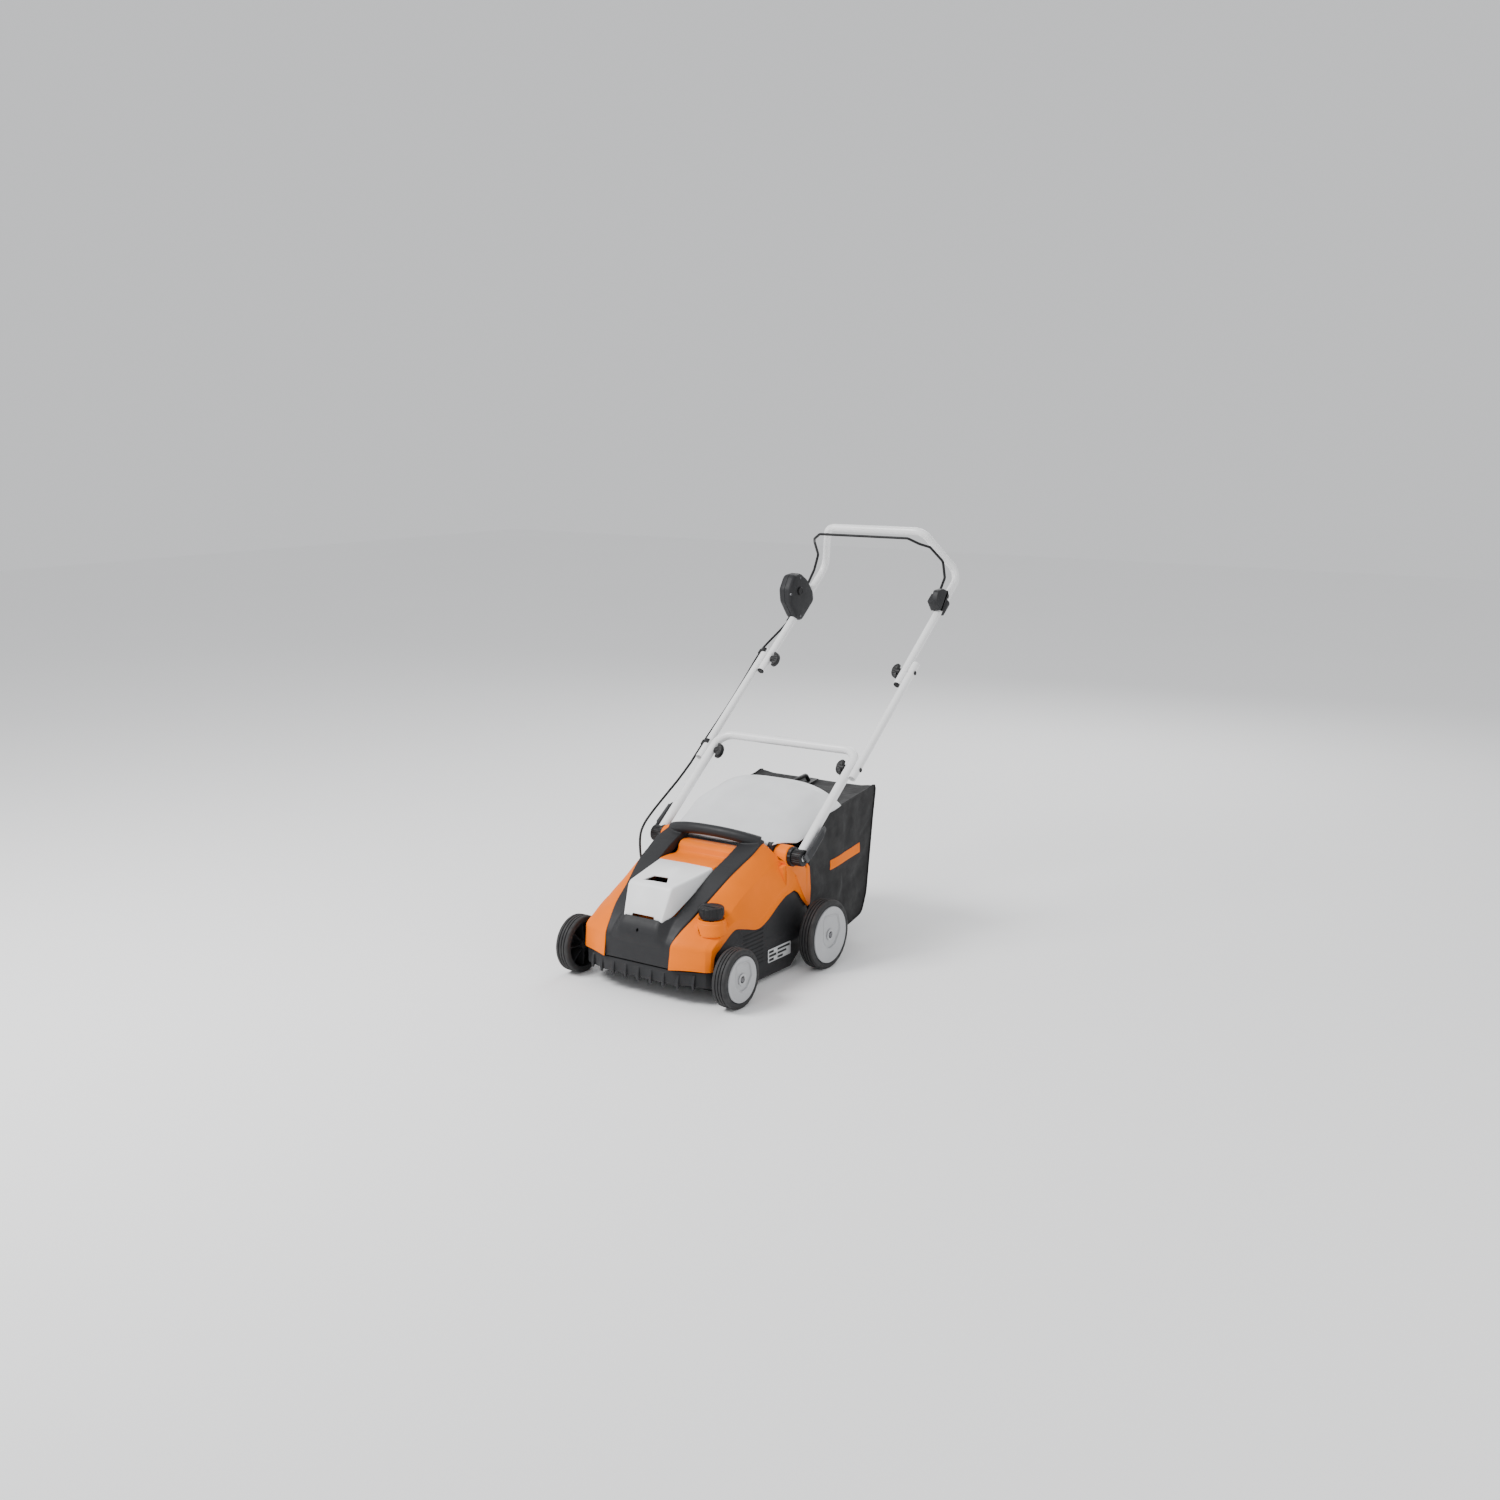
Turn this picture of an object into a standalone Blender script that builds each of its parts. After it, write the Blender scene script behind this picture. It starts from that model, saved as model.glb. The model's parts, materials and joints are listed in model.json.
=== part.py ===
"""Walk-behind cordless lawn dethatcher with a folding three-piece handle and a rear catcher bag.

Metres, +Z up, +X to the machine's own right side as seen from the front, the front faces -Y.
Lengths along Y are first written from the drum side of the chassis and moved to the middle
of the whole machine at the end by Y_CENTRE.
"""

import math

import bmesh
import bpy
from mathutils import Matrix, Vector

# ---------------------------------------------------------------- driving dimensions
Y_CENTRE = 0.455472
GAP = 0.0003

REAR_WHEEL_Y = 0.312
REAR_WHEEL_R = 0.092
FRONT_WHEEL_Y = -0.077
FRONT_WHEEL_R = 0.0753
REAR_DISC_X = 0.280
FRONT_DISC_X = 0.2724
TYRE_WIDTH = 0.0405
STUB_R = 0.005
WHEEL_STEPS = 24
RIM_RIBS = 8

SWING_Y = -0.020
SWING_Z = 0.120
DRUM_Y = 0.095
DRUM_Z = 0.078
DRUM_TIP_R = 0.062
MOTOR_Y = 0.115
MOTOR_Z = 0.205
MOTOR_R = 0.040
BELT_X = -0.1865
DRUM_PULLEY_R = 0.035
MOTOR_PULLEY_R = 0.0125

DECK_HALF_X = 0.198
BAND_X = 0.203
SHELL = 0.003
KNOB_X = 0.163
KNOB_Y = -0.057

HANDLE_ANGLE = math.radians(38.51)
LEG_Y = 0.2298
LEG_Z = 0.3043
PIVOT_L = 0.0085
LOWER_X = 0.2281
LOWER_R = 0.0125
LOWER_BAR_L = 0.382
MID_X = 0.252
UPPER_X = 0.2290
TUBE_R = 0.011
TUBE_WALL = 0.0015
LOWER_BOLT_L = 0.3185
UPPER_BOLT_L = 0.681
MID_START_L = 0.285
MID_END_L = 0.715
UPPER_START_L = 0.632

BAIL_L = 0.9652
BAIL_N = 0.033
BAIL_R = 0.0033
CABLE_R = 0.0033
CABLE_X = -0.2690
KNOB_TURN = math.radians(62)
FLAP_Y = 0.215
FLAP_Z = 0.335
COVER_HINGE_Y = 0.0530
COVER_HINGE_Z = 0.2965

COLLECTION = "lawn_dethatcher"

PALETTE = {
    "orange_plastic": ((0.95, 0.21, 0.008), 0.32, 0.0),
    "dark_plastic": ((0.052, 0.053, 0.056), 0.48, 0.0),
    "black_plastic": ((0.018, 0.018, 0.019), 0.45, 0.0),
    "grey_plastic": ((0.66, 0.67, 0.68), 0.38, 0.0),
    "tyre_rubber": ((0.020, 0.020, 0.021), 0.72, 0.0),
    "handle_paint": ((0.74, 0.74, 0.73), 0.34, 0.0),
    "bare_steel": ((0.52, 0.52, 0.53), 0.30, 1.0),
    "dark_steel": ((0.16, 0.16, 0.17), 0.42, 1.0),
    "bag_fabric": ((0.021, 0.021, 0.022), 0.85, 0.0),
    "label_foil": ((0.55, 0.56, 0.57), 0.42, 0.0),
    "cable_rubber": ((0.012, 0.012, 0.013), 0.60, 0.0),
}


# ---------------------------------------------------------------- shared helpers
def clear_scene():
    for obj in list(bpy.data.objects):
        bpy.data.objects.remove(obj, do_unlink=True)


def make_material(name):
    colour, roughness, metallic = PALETTE[name]
    material = bpy.data.materials.new(name)
    material.use_nodes = True
    shader = material.node_tree.nodes["Principled BSDF"]
    shader.inputs["Base Color"].default_value = (*colour, 1.0)
    shader.inputs["Roughness"].default_value = roughness
    shader.inputs["Metallic"].default_value = metallic
    return material


def link(data, name):
    obj = bpy.data.objects.new(name, data)
    bpy.context.scene.collection.objects.link(obj)
    return obj


def baked(obj, name="solid"):
    """The object's evaluated mesh in world space, as a new clean object; the old one is dropped."""
    bpy.context.view_layer.update()
    graph = bpy.context.evaluated_depsgraph_get()
    mesh = bpy.data.meshes.new_from_object(obj.evaluated_get(graph))
    mesh.transform(obj.matrix_world)
    bpy.data.objects.remove(obj, do_unlink=True)
    shape = bmesh.new()
    shape.from_mesh(mesh)
    bmesh.ops.remove_doubles(shape, verts=shape.verts, dist=1e-6)
    bmesh.ops.recalc_face_normals(shape, faces=shape.faces)
    shape.to_mesh(mesh)
    shape.free()
    mesh.materials.clear()
    return link(mesh, name)


def arc_corners(points, radii, steps=4):
    """The outline with each corner swapped for an arc that touches both of its sides."""
    count = len(points)
    radii = radii if isinstance(radii, (list, tuple)) else [radii] * count
    outline = []
    for i, radius in enumerate(radii):
        corner = Vector(points[i])
        before = (Vector(points[i - 1]) - corner).normalized()
        after = (Vector(points[(i + 1) % count]) - corner).normalized()
        if radius <= 0:
            outline.append(tuple(corner))
            continue
        half = before.angle(after) / 2
        reach = radius / math.tan(half)
        middle = corner + (before + after).normalized() * radius / math.sin(half)
        start = corner + before * reach - middle
        end = corner + after * reach - middle
        for k in range(steps + 1):
            spoke = start.lerp(end, k / steps).normalized() * radius
            if 0 < k < steps:
                turn = start.angle(end)
                spoke = (
                    start * math.sin(turn * (1 - k / steps)) + end * math.sin(turn * k / steps)
                ) / math.sin(turn)
            outline.append(tuple(middle + spoke))
    return outline


AXIS_FRAMES = {
    "x": Matrix(((0, 0, 1), (1, 0, 0), (0, 1, 0))).to_4x4(),
    "y": Matrix(((1, 0, 0), (0, 0, -1), (0, 1, 0))).to_4x4(),
    "z": Matrix.Identity(4),
}


def prism(outline, axis, low, high):
    """The outline, in the two world axes across `axis`, extruded between two stations along it."""
    curve = bpy.data.curves.new("outline", "CURVE")
    curve.dimensions = "2D"
    curve.fill_mode = "BOTH"
    curve.extrude = (high - low) / 2
    spline = curve.splines.new("POLY")
    spline.points.add(len(outline) - 1)
    for point, (a, b) in zip(spline.points, outline):
        point.co = (a, b, 0, 1)
    spline.use_cyclic_u = True
    obj = link(curve, "prism")
    along = (low + high) / 2 * (-1 if axis == "y" else 1)
    obj.matrix_world = AXIS_FRAMES[axis] @ Matrix.Translation((0, 0, along))
    return baked(obj)


def box(low, high):
    outline = [(low[0], low[1]), (high[0], low[1]), (high[0], high[1]), (low[0], high[1])]
    return prism(outline, "z", low[2], high[2])


def rod(start, end, radius, sides=16, end_radius=None):
    """A straight round bar, or a cone when the radii differ."""
    start = Vector(start)
    end = Vector(end)
    bpy.ops.mesh.primitive_cone_add(
        vertices=sides,
        radius1=radius,
        radius2=radius if end_radius is None else end_radius,
        depth=(end - start).length,
    )
    obj = bpy.context.object
    turn = Vector((0, 0, 1)).rotation_difference(end - start).to_matrix().to_4x4()
    obj.matrix_world = Matrix.Translation((start + end) / 2) @ turn
    return baked(obj)


def x_rod(y, z, radius, low, high, sides=16):
    return rod((low, y, z), (high, y, z), radius, sides)


def bend(points, radius, steps=4):
    """The route with arcs of one radius at its inner corners."""
    route = [Vector(points[0])]
    for before, corner, after in zip(points, points[1:], points[2:]):
        corner = Vector(corner)
        back = (Vector(before) - corner).normalized()
        ahead = (Vector(after) - corner).normalized()
        half = back.angle(ahead) / 2
        middle = corner + (back + ahead).normalized() * radius / math.sin(half)
        start = corner + back * radius / math.tan(half) - middle
        end = corner + ahead * radius / math.tan(half) - middle
        turn = start.angle(end)
        for k in range(steps + 1):
            first = start * math.sin(turn * (1 - k / steps))
            second = end * math.sin(turn * k / steps)
            route.append(middle + (first + second) / math.sin(turn))
    route.append(Vector(points[-1]))
    return route


def tube(route, radius, resolution=3):
    """A round bar along a route; resolution 3 has 10 sides and 2 has 8."""
    curve = bpy.data.curves.new("route", "CURVE")
    curve.dimensions = "3D"
    curve.bevel_depth = radius
    curve.bevel_resolution = resolution
    curve.use_fill_caps = True
    spline = curve.splines.new("POLY")
    spline.points.add(len(route) - 1)
    for point, place in zip(spline.points, route):
        point.co = (*place, 1)
    return baked(link(curve, "tube"))


def hollow_tube(route, radius, wall, resolution=3):
    """A tube open at both ends: its bore runs a little past each of them."""
    first = Vector(route[0])
    last = Vector(route[-1])
    longer = [first + (first - Vector(route[1])).normalized() * 0.004]
    longer += list(route[1:-1])
    longer.append(last + (last - Vector(route[-2])).normalized() * 0.004)
    return cut(tube(route, radius, resolution), tube(longer, radius - wall, resolution))


def lathe(profile, y, z, steps):
    """A ring turned about an X axis: the profile is a closed loop of (x, radius)."""
    count = len(profile)
    mesh = bpy.data.meshes.new("profile")
    points = [(radius, 0, x) for x, radius in profile]
    mesh.from_pydata(points, [(i, (i + 1) % count) for i in range(count)], [])
    obj = link(mesh, "lathe")
    screw = obj.modifiers.new("Screw", "SCREW")
    screw.steps = steps
    screw.render_steps = steps
    screw.use_merge_vertices = True
    screw.merge_threshold = 0.00001
    obj.matrix_world = Matrix.Translation((0, y, z)) @ Matrix.Rotation(math.pi / 2, 4, "Y")
    return baked(obj)


def loft(sections):
    """A closed skin through sections that all have the same number of points."""
    size = len(sections[0])
    points = [point for section in sections for point in section]
    faces = [tuple(range(size))]
    for row in range(len(sections) - 1):
        for i in range(size):
            j = (i + 1) % size
            here = row * size
            faces.append((here + i, here + j, here + size + j, here + size + i))
    faces.append(tuple(range(len(points) - size, len(points))))
    mesh = bpy.data.meshes.new("loft")
    mesh.from_pydata([tuple(point) for point in points], [], faces)
    obj = link(mesh, "loft")
    shape = bmesh.new()
    shape.from_mesh(mesh)
    bmesh.ops.triangulate(shape, faces=shape.faces)
    shape.to_mesh(mesh)
    shape.free()
    return baked(obj)


def combine(obj, others, operation):
    for number, other in enumerate(others):
        modifier = obj.modifiers.new(f"Boolean{number}", "BOOLEAN")
        modifier.operation = operation
        modifier.object = other
    result = baked(obj)
    for other in others:
        bpy.data.objects.remove(other, do_unlink=True)
    return result


def join(obj, *others):
    return combine(obj, others, "UNION")


def cut(obj, *others):
    return combine(obj, others, "DIFFERENCE")


def keep(obj, other):
    return combine(obj, [other], "INTERSECT")


def beveled(obj, width, segments=2, angle=30):
    modifier = obj.modifiers.new("Bevel", "BEVEL")
    modifier.width = width
    modifier.segments = segments
    modifier.limit_method = "ANGLE"
    modifier.angle_limit = math.radians(angle)
    return baked(obj)


def mirrored(obj):
    """A copy reflected to the other side of the machine."""
    mesh = obj.data.copy()
    mesh.transform(Matrix.Diagonal((-1, 1, 1, 1)))
    mesh.flip_normals()
    return link(mesh, "mirrored")


def place(obj, name, material, pivot=(0, 0, 0), smooth=35):
    """Names the finished part, paints it and puts its origin on the axis that it turns about."""
    centre = Vector(pivot)
    obj.data.transform(Matrix.Translation(-centre))
    obj.matrix_world = Matrix.Translation(centre - Vector((0, Y_CENTRE, 0)))
    obj.name = name
    obj.data.name = name
    obj.data.materials.append(materials[material])
    obj.data.shade_smooth()
    obj.data.set_sharp_from_angle(angle=math.radians(smooth))
    bpy.context.scene.collection.objects.unlink(obj)
    parts.objects.link(obj)
    return obj


def leg(x, along, off=0.0):
    """A point by its distance up the handle's leg line and its distance off it."""
    c = math.cos(HANDLE_ANGLE)
    s = math.sin(HANDLE_ANGLE)
    return Vector((x, LEG_Y + along * c - off * s, LEG_Z + along * s + off * c))


def leg_flat(along, off):
    point = leg(0, along, off)
    return (point.y, point.z)


PIVOT = leg(0, PIVOT_L)
LOWER_BOLT = leg(0, LOWER_BOLT_L)
UPPER_BOLT = leg(0, UPPER_BOLT_L)
BAIL_AXIS = leg(0, BAIL_L, BAIL_N)
UP_LEG = Vector((0, math.cos(HANDLE_ANGLE), math.sin(HANDLE_ANGLE)))
OFF_LEG = Vector((0, -math.sin(HANDLE_ANGLE), math.cos(HANDLE_ANGLE)))

# Where the side panels meet the centre cover: (y, z, half width).
SEAM = [
    (-0.1575, 0.0890, 0.1024),
    (-0.1515, 0.1280, 0.1028),
    (-0.1460, 0.1520, 0.1038),
    (-0.1190, 0.1770, 0.1110),
    (-0.0790, 0.2060, 0.1230),
    (-0.0310, 0.2365, 0.1310),
    (0.0400, 0.2845, 0.1455),
    (0.0880, 0.3080, 0.1510),
    (0.1320, 0.3280, 0.1560),
    (0.1750, 0.3440, 0.1520),
    (0.1930, 0.3455, 0.1480),
]

# The panel's three long edges outboard of the seam, one row per seam row: each (y, z, x).
RIDGE = [
    (-0.1214, 0.0885, 0.1895),
    (-0.1185, 0.1280, 0.1885),
    (-0.1150, 0.1490, 0.1870),
    (-0.0860, 0.1690, 0.1880),
    (-0.0520, 0.1870, 0.1885),
    (-0.0150, 0.2120, 0.1880),
    (0.0400, 0.2410, 0.1860),
    (0.0880, 0.2600, 0.1855),
    (0.1320, 0.2750, 0.1850),
    (0.1850, 0.2950, 0.1840),
    (0.2150, 0.3030, 0.1840),
]
BAND_TOP = [
    (-0.1130, 0.0885, 0.2000),
    (-0.1090, 0.1280, 0.2005),
    (-0.1050, 0.1470, 0.2010),
    (-0.0760, 0.1640, 0.2020),
    (-0.0440, 0.1830, 0.2025),
    (-0.0080, 0.1960, 0.2030),
    (0.0400, 0.1850, 0.2030),
    (0.0880, 0.1725, 0.2030),
    (0.1320, 0.1900, 0.2030),
    (0.1800, 0.2190, 0.2030),
    (0.2200, 0.2385, 0.2030),
]
BAND_FOOT = [
    (-0.1050, 0.0885, 0.2028),
    (-0.0960, 0.1270, 0.2029),
    (-0.0740, 0.1415, 0.2030),
    (-0.0500, 0.1555, 0.2030),
    (-0.0245, 0.1690, 0.2030),
    (-0.0030, 0.1725, 0.2030),
    (0.0400, 0.1620, 0.2030),
    (0.0880, 0.1505, 0.2030),
    (0.1320, 0.1630, 0.2030),
    (0.1800, 0.1910, 0.2030),
    (0.2240, 0.2125, 0.2030),
]

VENT_COUNT = 9
VENT_PITCH = 0.0108
TOOTH_X = [-0.160, -0.121, -0.080, -0.040, 0.0, 0.040, 0.080, 0.121, 0.160]


# ---------------------------------------------------------------- chassis
def side_profile():
    """The housing seen from the side: skirt, walls up behind the panels, ramp to the rear."""
    front = [(-0.1460, 0.0490), (-0.1460, 0.0980), (-0.1120, 0.1040), (-0.0860, 0.1440)]
    top = [(-0.0240, 0.1790), (0.0020, 0.1800), (0.0780, 0.1600), (0.1040, 0.1600)]
    rear = [(0.2020, 0.2120), (0.2300, 0.2220), (0.2620, 0.2200), (0.2900, 0.1970)]
    back = [(0.3180, 0.1600), (0.3300, 0.1300), (0.3300, 0.0700), (0.2700, 0.0300)]
    foot = [(0.2450, 0.0105), (0.0, 0.0105), (-0.0500, 0.0150), (-0.1000, 0.0450)]
    return front + top + rear + back + foot


def plan_outline(front, corner_y, half_x):
    half = [(half_x, 0.335), (half_x, corner_y), (half_x - 0.011, corner_y - 0.012), (0.108, front)]
    return half + [(-x, y) for x, y in reversed(half)]


def housing_body():
    """The side profile trimmed by two plan outlines, so that the panels sit over a step."""
    low = keep(prism(side_profile(), "x", -DECK_HALF_X, DECK_HALF_X),
               prism(plan_outline(-0.146, -0.1040, DECK_HALF_X), "z", 0.0, 0.0855))
    high = keep(prism(side_profile(), "x", -DECK_HALF_X, DECK_HALF_X),
                prism(plan_outline(-0.1375, -0.0960, DECK_HALF_X - 0.0001), "z", 0.0850, 0.25))
    return join(low, high)


def skirt_teeth():
    profile = [(-0.1435, 0.0800), (-0.1470, 0.0760), (-0.1515, 0.0560), (-0.1500, 0.0410), (-0.1435, 0.0500)]
    teeth = []
    for x in TOOTH_X:
        shift = max(0.0, abs(x) - 0.108) * 0.33
        moved = [(y + shift, z) for y, z in profile]
        teeth.append(prism(moved, "x", x - 0.004, x + 0.004))
    return teeth


def rear_towers():
    """The two uprights beside the discharge opening and the beam that joins their tops."""
    outline = [(0.2050, 0.190), (0.2050, 0.3380), (0.2100, 0.3455)]
    outline += [(0.262, 0.3400), (0.3250, 0.3000), (0.3250, 0.140)]
    towers = [prism(outline, "x", 0.1500, 0.1625), prism(outline, "x", -0.1625, -0.1500)]
    beam = prism([(0.196, 0.285), (0.196, 0.325), (0.224, 0.325), (0.224, 0.310)], "x", -0.151, 0.151)
    return towers + [beam]


def belt_outline(grow):
    """A slot with round ends about the two pulleys, the drum's end being the larger."""
    lower = Vector((DRUM_Y, DRUM_Z))
    upper = Vector((MOTOR_Y, MOTOR_Z))
    line = (upper - lower).normalized()
    heading = math.atan2(line.y, line.x)
    tilt = math.asin((DRUM_PULLEY_R - MOTOR_PULLEY_R) / (upper - lower).length)
    outline = []
    big = DRUM_PULLEY_R + grow
    small = MOTOR_PULLEY_R + grow
    for k in range(13):
        angle = heading + math.pi / 2 - tilt + (math.pi + 2 * tilt) * k / 12
        outline.append((lower.x + big * math.cos(angle), lower.y + big * math.sin(angle)))
    for k in range(7):
        angle = heading - math.pi / 2 + tilt + (math.pi - 2 * tilt) * k / 6
        outline.append((upper.x + small * math.cos(angle), upper.y + small * math.sin(angle)))
    return outline


def chamber_cutter():
    """Room for the drum, open below, sweeping up to the rear opening between the towers."""
    arc = []
    for k in range(9):
        angle = math.radians(180 - 22.5 * k)
        arc.append((DRUM_Y + 0.070 * math.cos(angle), DRUM_Z + 0.070 * math.sin(angle)))
    return prism([(0.025, 0.0)] + arc[:6] + [(0.165, 0.125), (0.165, 0.0)], "x", -0.1760, 0.1760)


def discharge_cutter():
    outline = [(0.150, 0.030), (0.090, 0.148), (0.180, 0.205), (0.196, 0.284), (0.226, 0.309), (0.226, 0.40)]
    return prism(outline + [(0.345, 0.40), (0.345, 0.1150)], "x", -0.1497, 0.1497)


def ramp_underside_cutter():
    return prism([(0.165, 0.000), (0.165, 0.0335), (0.345, 0.1110), (0.345, 0.0)], "x", -0.1900, 0.1900)


def bay_cutters():
    """The tray above the drum tunnel for motor and controls, and the deep bay ahead of it."""
    outline = [(0.010, 0.163), (0.010, 0.30), (0.1720, 0.30), (0.1720, 0.20), (0.1200, 0.163)]
    motor_bay = prism(outline, "x", -0.1800, 0.1940)
    corner = [(-0.1660, 0.0150), (-0.1660, -0.1110), (-0.1040, -0.1330)]
    front_bay = prism(corner + [(-x, y) for x, y in reversed(corner)], "z", 0.0570, 0.30)
    side_bay = box((-0.1940, -0.0880, 0.0570), (0.1940, 0.0150, 0.30))
    return [motor_bay, front_bay, side_bay]


def vent_cutters():
    """Blind louvres in the right wall, the lower ones shortened round the front wheel."""
    cutters = []
    for row in range(VENT_COUNT):
        z = 0.1440 - VENT_PITCH * row
        rise = z - FRONT_WHEEL_R
        reach = math.sqrt(max(0.0, 0.100**2 - rise**2))
        start = max(0.028, FRONT_WHEEL_Y + reach + 0.012)
        outline = [(start, z - 0.0022), (0.1180, z - 0.0022), (0.1180, z + 0.0022), (start, z + 0.0022)]
        cutters.append(prism(outline, "x", DECK_HALF_X - 0.0025, DECK_HALF_X + 0.004))
    return cutters


def deck_housing():
    body = join(housing_body(), *skirt_teeth(), *rear_towers())
    cutters = [chamber_cutter(), discharge_cutter(), ramp_underside_cutter()]
    cutters += bay_cutters() + vent_cutters()
    cutters.append(prism(belt_outline(0.0045), "x", -0.205, -0.1790))
    cutters.append(x_rod(DRUM_Y, DRUM_Z, 0.0133, -0.1850, 0.1850, 20))
    cutters.append(x_rod(SWING_Y, SWING_Z, 0.0073, -0.21, 0.21, 12))
    cutters.append(x_rod(REAR_WHEEL_Y, REAR_WHEEL_R, 0.0063, -0.21, 0.21, 12))
    cutters.append(x_rod(FLAP_Y, FLAP_Z, 0.0043, -0.1560, 0.1560, 12))
    cutters.append(x_rod(PIVOT.y, PIVOT.z, 0.0048, -0.17, 0.17, 12))
    return cut(body, *cutters)


def panel_rows(shrink):
    """Panel sections, seam to band foot and back along the inside, `shrink` thick."""
    sections = []
    for row, seam in enumerate(SEAM):
        front = row < 3
        inward = Vector((0, shrink, 0)) if front else Vector((0, shrink * 0.35, -shrink * 0.95))
        seam_point = Vector((seam[2], seam[0], seam[1]))
        ridge = Vector((RIDGE[row][2], RIDGE[row][0], RIDGE[row][1]))
        top = Vector((BAND_TOP[row][2], BAND_TOP[row][0], BAND_TOP[row][1]))
        foot = Vector((BAND_FOOT[row][2], BAND_FOOT[row][0], BAND_FOOT[row][1]))
        inner = [
            foot - Vector((shrink, 0, 0)),
            top + Vector((-shrink, 0, 0)) + inward * 0.5,
            ridge + Vector((-shrink * 0.6, 0, 0)) + inward,
            seam_point + inward + Vector((0.0014, 0, 0)),
        ]
        sections.append([seam_point, ridge, top, foot] + inner)
    return sections


def rear_lobe():
    """The thin plate behind the boss that runs down to a tip above the rear wheel."""
    outline = [
        (0.2150, 0.2080), (0.2530, 0.2147), (0.2750, 0.2020), (0.2930, 0.1800), (0.3180, 0.1550),
        (0.3300, 0.1600), (0.3330, 0.2020), (0.3270, 0.2620), (0.3050, 0.2850), (0.2150, 0.3000),
    ]
    slot = prism([(0.308, 0.262), (0.313, 0.264), (0.308, 0.279), (0.303, 0.277)], "x", 0.195, 0.21)
    return cut(prism(outline, "x", 0.1990, BAND_X), slot)


def panel_boss():
    """The round boss that the handle turns on and the web under it."""
    boss = x_rod(PIVOT.y, PIVOT.z, 0.0280, 0.1640, 0.2050, 28)
    web = prism([(0.205, 0.290), (0.2130, 0.240), (0.2750, 0.2300), (0.2600, 0.3050)], "x", 0.1650, 0.1995)
    return cut(join(boss, web), x_rod(PIVOT.y, PIVOT.z, 0.0048, 0.15, 0.22, 12))


def right_panel():
    """The side panel with the depth knob's collar on its top."""
    shell = loft(panel_rows(SHELL))
    collar = rod((KNOB_X, KNOB_Y, 0.1760), (KNOB_X, KNOB_Y, 0.2085), 0.0395, 28, 0.0345)
    collar = cut(collar, box((BAND_X - 0.0006, -0.12, 0.10), (0.23, 0.01, 0.25)))
    body = join(shell, panel_boss(), rear_lobe(), collar)
    knob_room = rod((KNOB_X, KNOB_Y, 0.2086), (KNOB_X, KNOB_Y, 0.26), 0.0340, 28)
    spindle = rod((KNOB_X, KNOB_Y, 0.12), (KNOB_X, KNOB_Y, 0.24), 0.0065, 16)
    return cut(body, knob_room, spindle)


def left_panel():
    """The mirrored side panel: no collar, and a hole in its flank where the cable goes in."""
    axis = Vector((0.62, 0.28, 0.73)).normalized()
    foot = Vector((0.1870, 0.1165, 0.2485))
    hole = rod(foot - axis * 0.02, foot + axis * 0.03, 0.0074, 14)
    source = join(cut(loft(panel_rows(SHELL)), hole), panel_boss(), rear_lobe())
    panel = mirrored(source)
    bpy.data.objects.remove(source, do_unlink=True)
    return panel


def rating_plate():
    outline = arc_corners([(0.139, 0.045), (0.244, 0.045), (0.244, 0.080), (0.139, 0.080)], 0.003, 2)
    return prism(outline, "x", 0.1983, 0.1990)


def arm_profile():
    """The centre cover from the side: front face, the long sloping arms, their undersides."""
    top = [(-0.1495, 0.0895), (-0.1465, 0.1500), (-0.1180, 0.1830), (-0.0780, 0.2125), (-0.0300, 0.2425)]
    top += [(0.0410, 0.2905), (0.0890, 0.3140), (0.1330, 0.3340)]
    top += [(0.1720, 0.3490), (0.1930, 0.3560), (0.2010, 0.3450)]
    under = [(0.1960, 0.3300), (0.1330, 0.3080), (0.0890, 0.2870), (0.0410, 0.2640), (-0.0300, 0.2150)]
    return top + under + [(-0.0780, 0.1850), (-0.1120, 0.1600), (-0.1390, 0.1420), (-0.1405, 0.0895)]


def cover_plan():
    half = [(x - 0.0004, y) for y, z, x in SEAM]
    half[0] = (half[0][0], -0.1600)
    return half + [(-x, y) for x, y in reversed(half)]


def nose_pad():
    """The crowned surface between the arms that rises to the foot of the battery cover."""
    rows = [(0.1450, 0.1000, -0.1462), (0.1560, 0.0985, -0.1450), (0.1780, 0.0890, -0.1386)]
    rows += [(0.2010, 0.0740, -0.1245), (0.2080, 0.0700, -0.1190)]
    sections = []
    for z, half_x, front in rows:
        back = -0.092
        sections.append([(-half_x, back, z), (-half_x, front + 0.012, z), (-half_x * 0.72, front, z),
                         (half_x * 0.72, front, z), (half_x, front + 0.012, z), (half_x, back, z)])
    return loft(sections)


def carry_bar():
    """A bar bowed forward and up between the two arms."""
    route = []
    for k in range(13):
        t = -1 + k / 6
        ease = abs(t) ** 2.4
        route.append((0.136 * t, 0.158 + 0.029 * ease, 0.3665 - 0.0195 * ease))
    return tube(route, 0.0155, 4)


def centre_cover():
    """The arms and the front face in one piece, open between the arms, with the carry bar across."""
    frame = keep(prism(arm_profile(), "x", -0.17, 0.17), prism(cover_plan(), "z", 0.05, 0.42))
    half = [(0.0605, -0.1278), (0.0730, -0.0940), (0.0895, 0.0550), (0.0935, 0.1090), (0.0935, 0.2300)]
    window = prism(half + [(-x, y) for x, y in reversed(half)], "z", 0.1880, 0.4200)
    under = box((-0.0585, -0.1180, 0.1000), (0.0585, -0.0500, 0.1885))
    hole = rod((0, -0.1500, 0.1720), (0, -0.1250, 0.1790), 0.0042, 12)
    return join(cut(join(frame, nose_pad()), window, under, hole), carry_bar())


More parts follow.
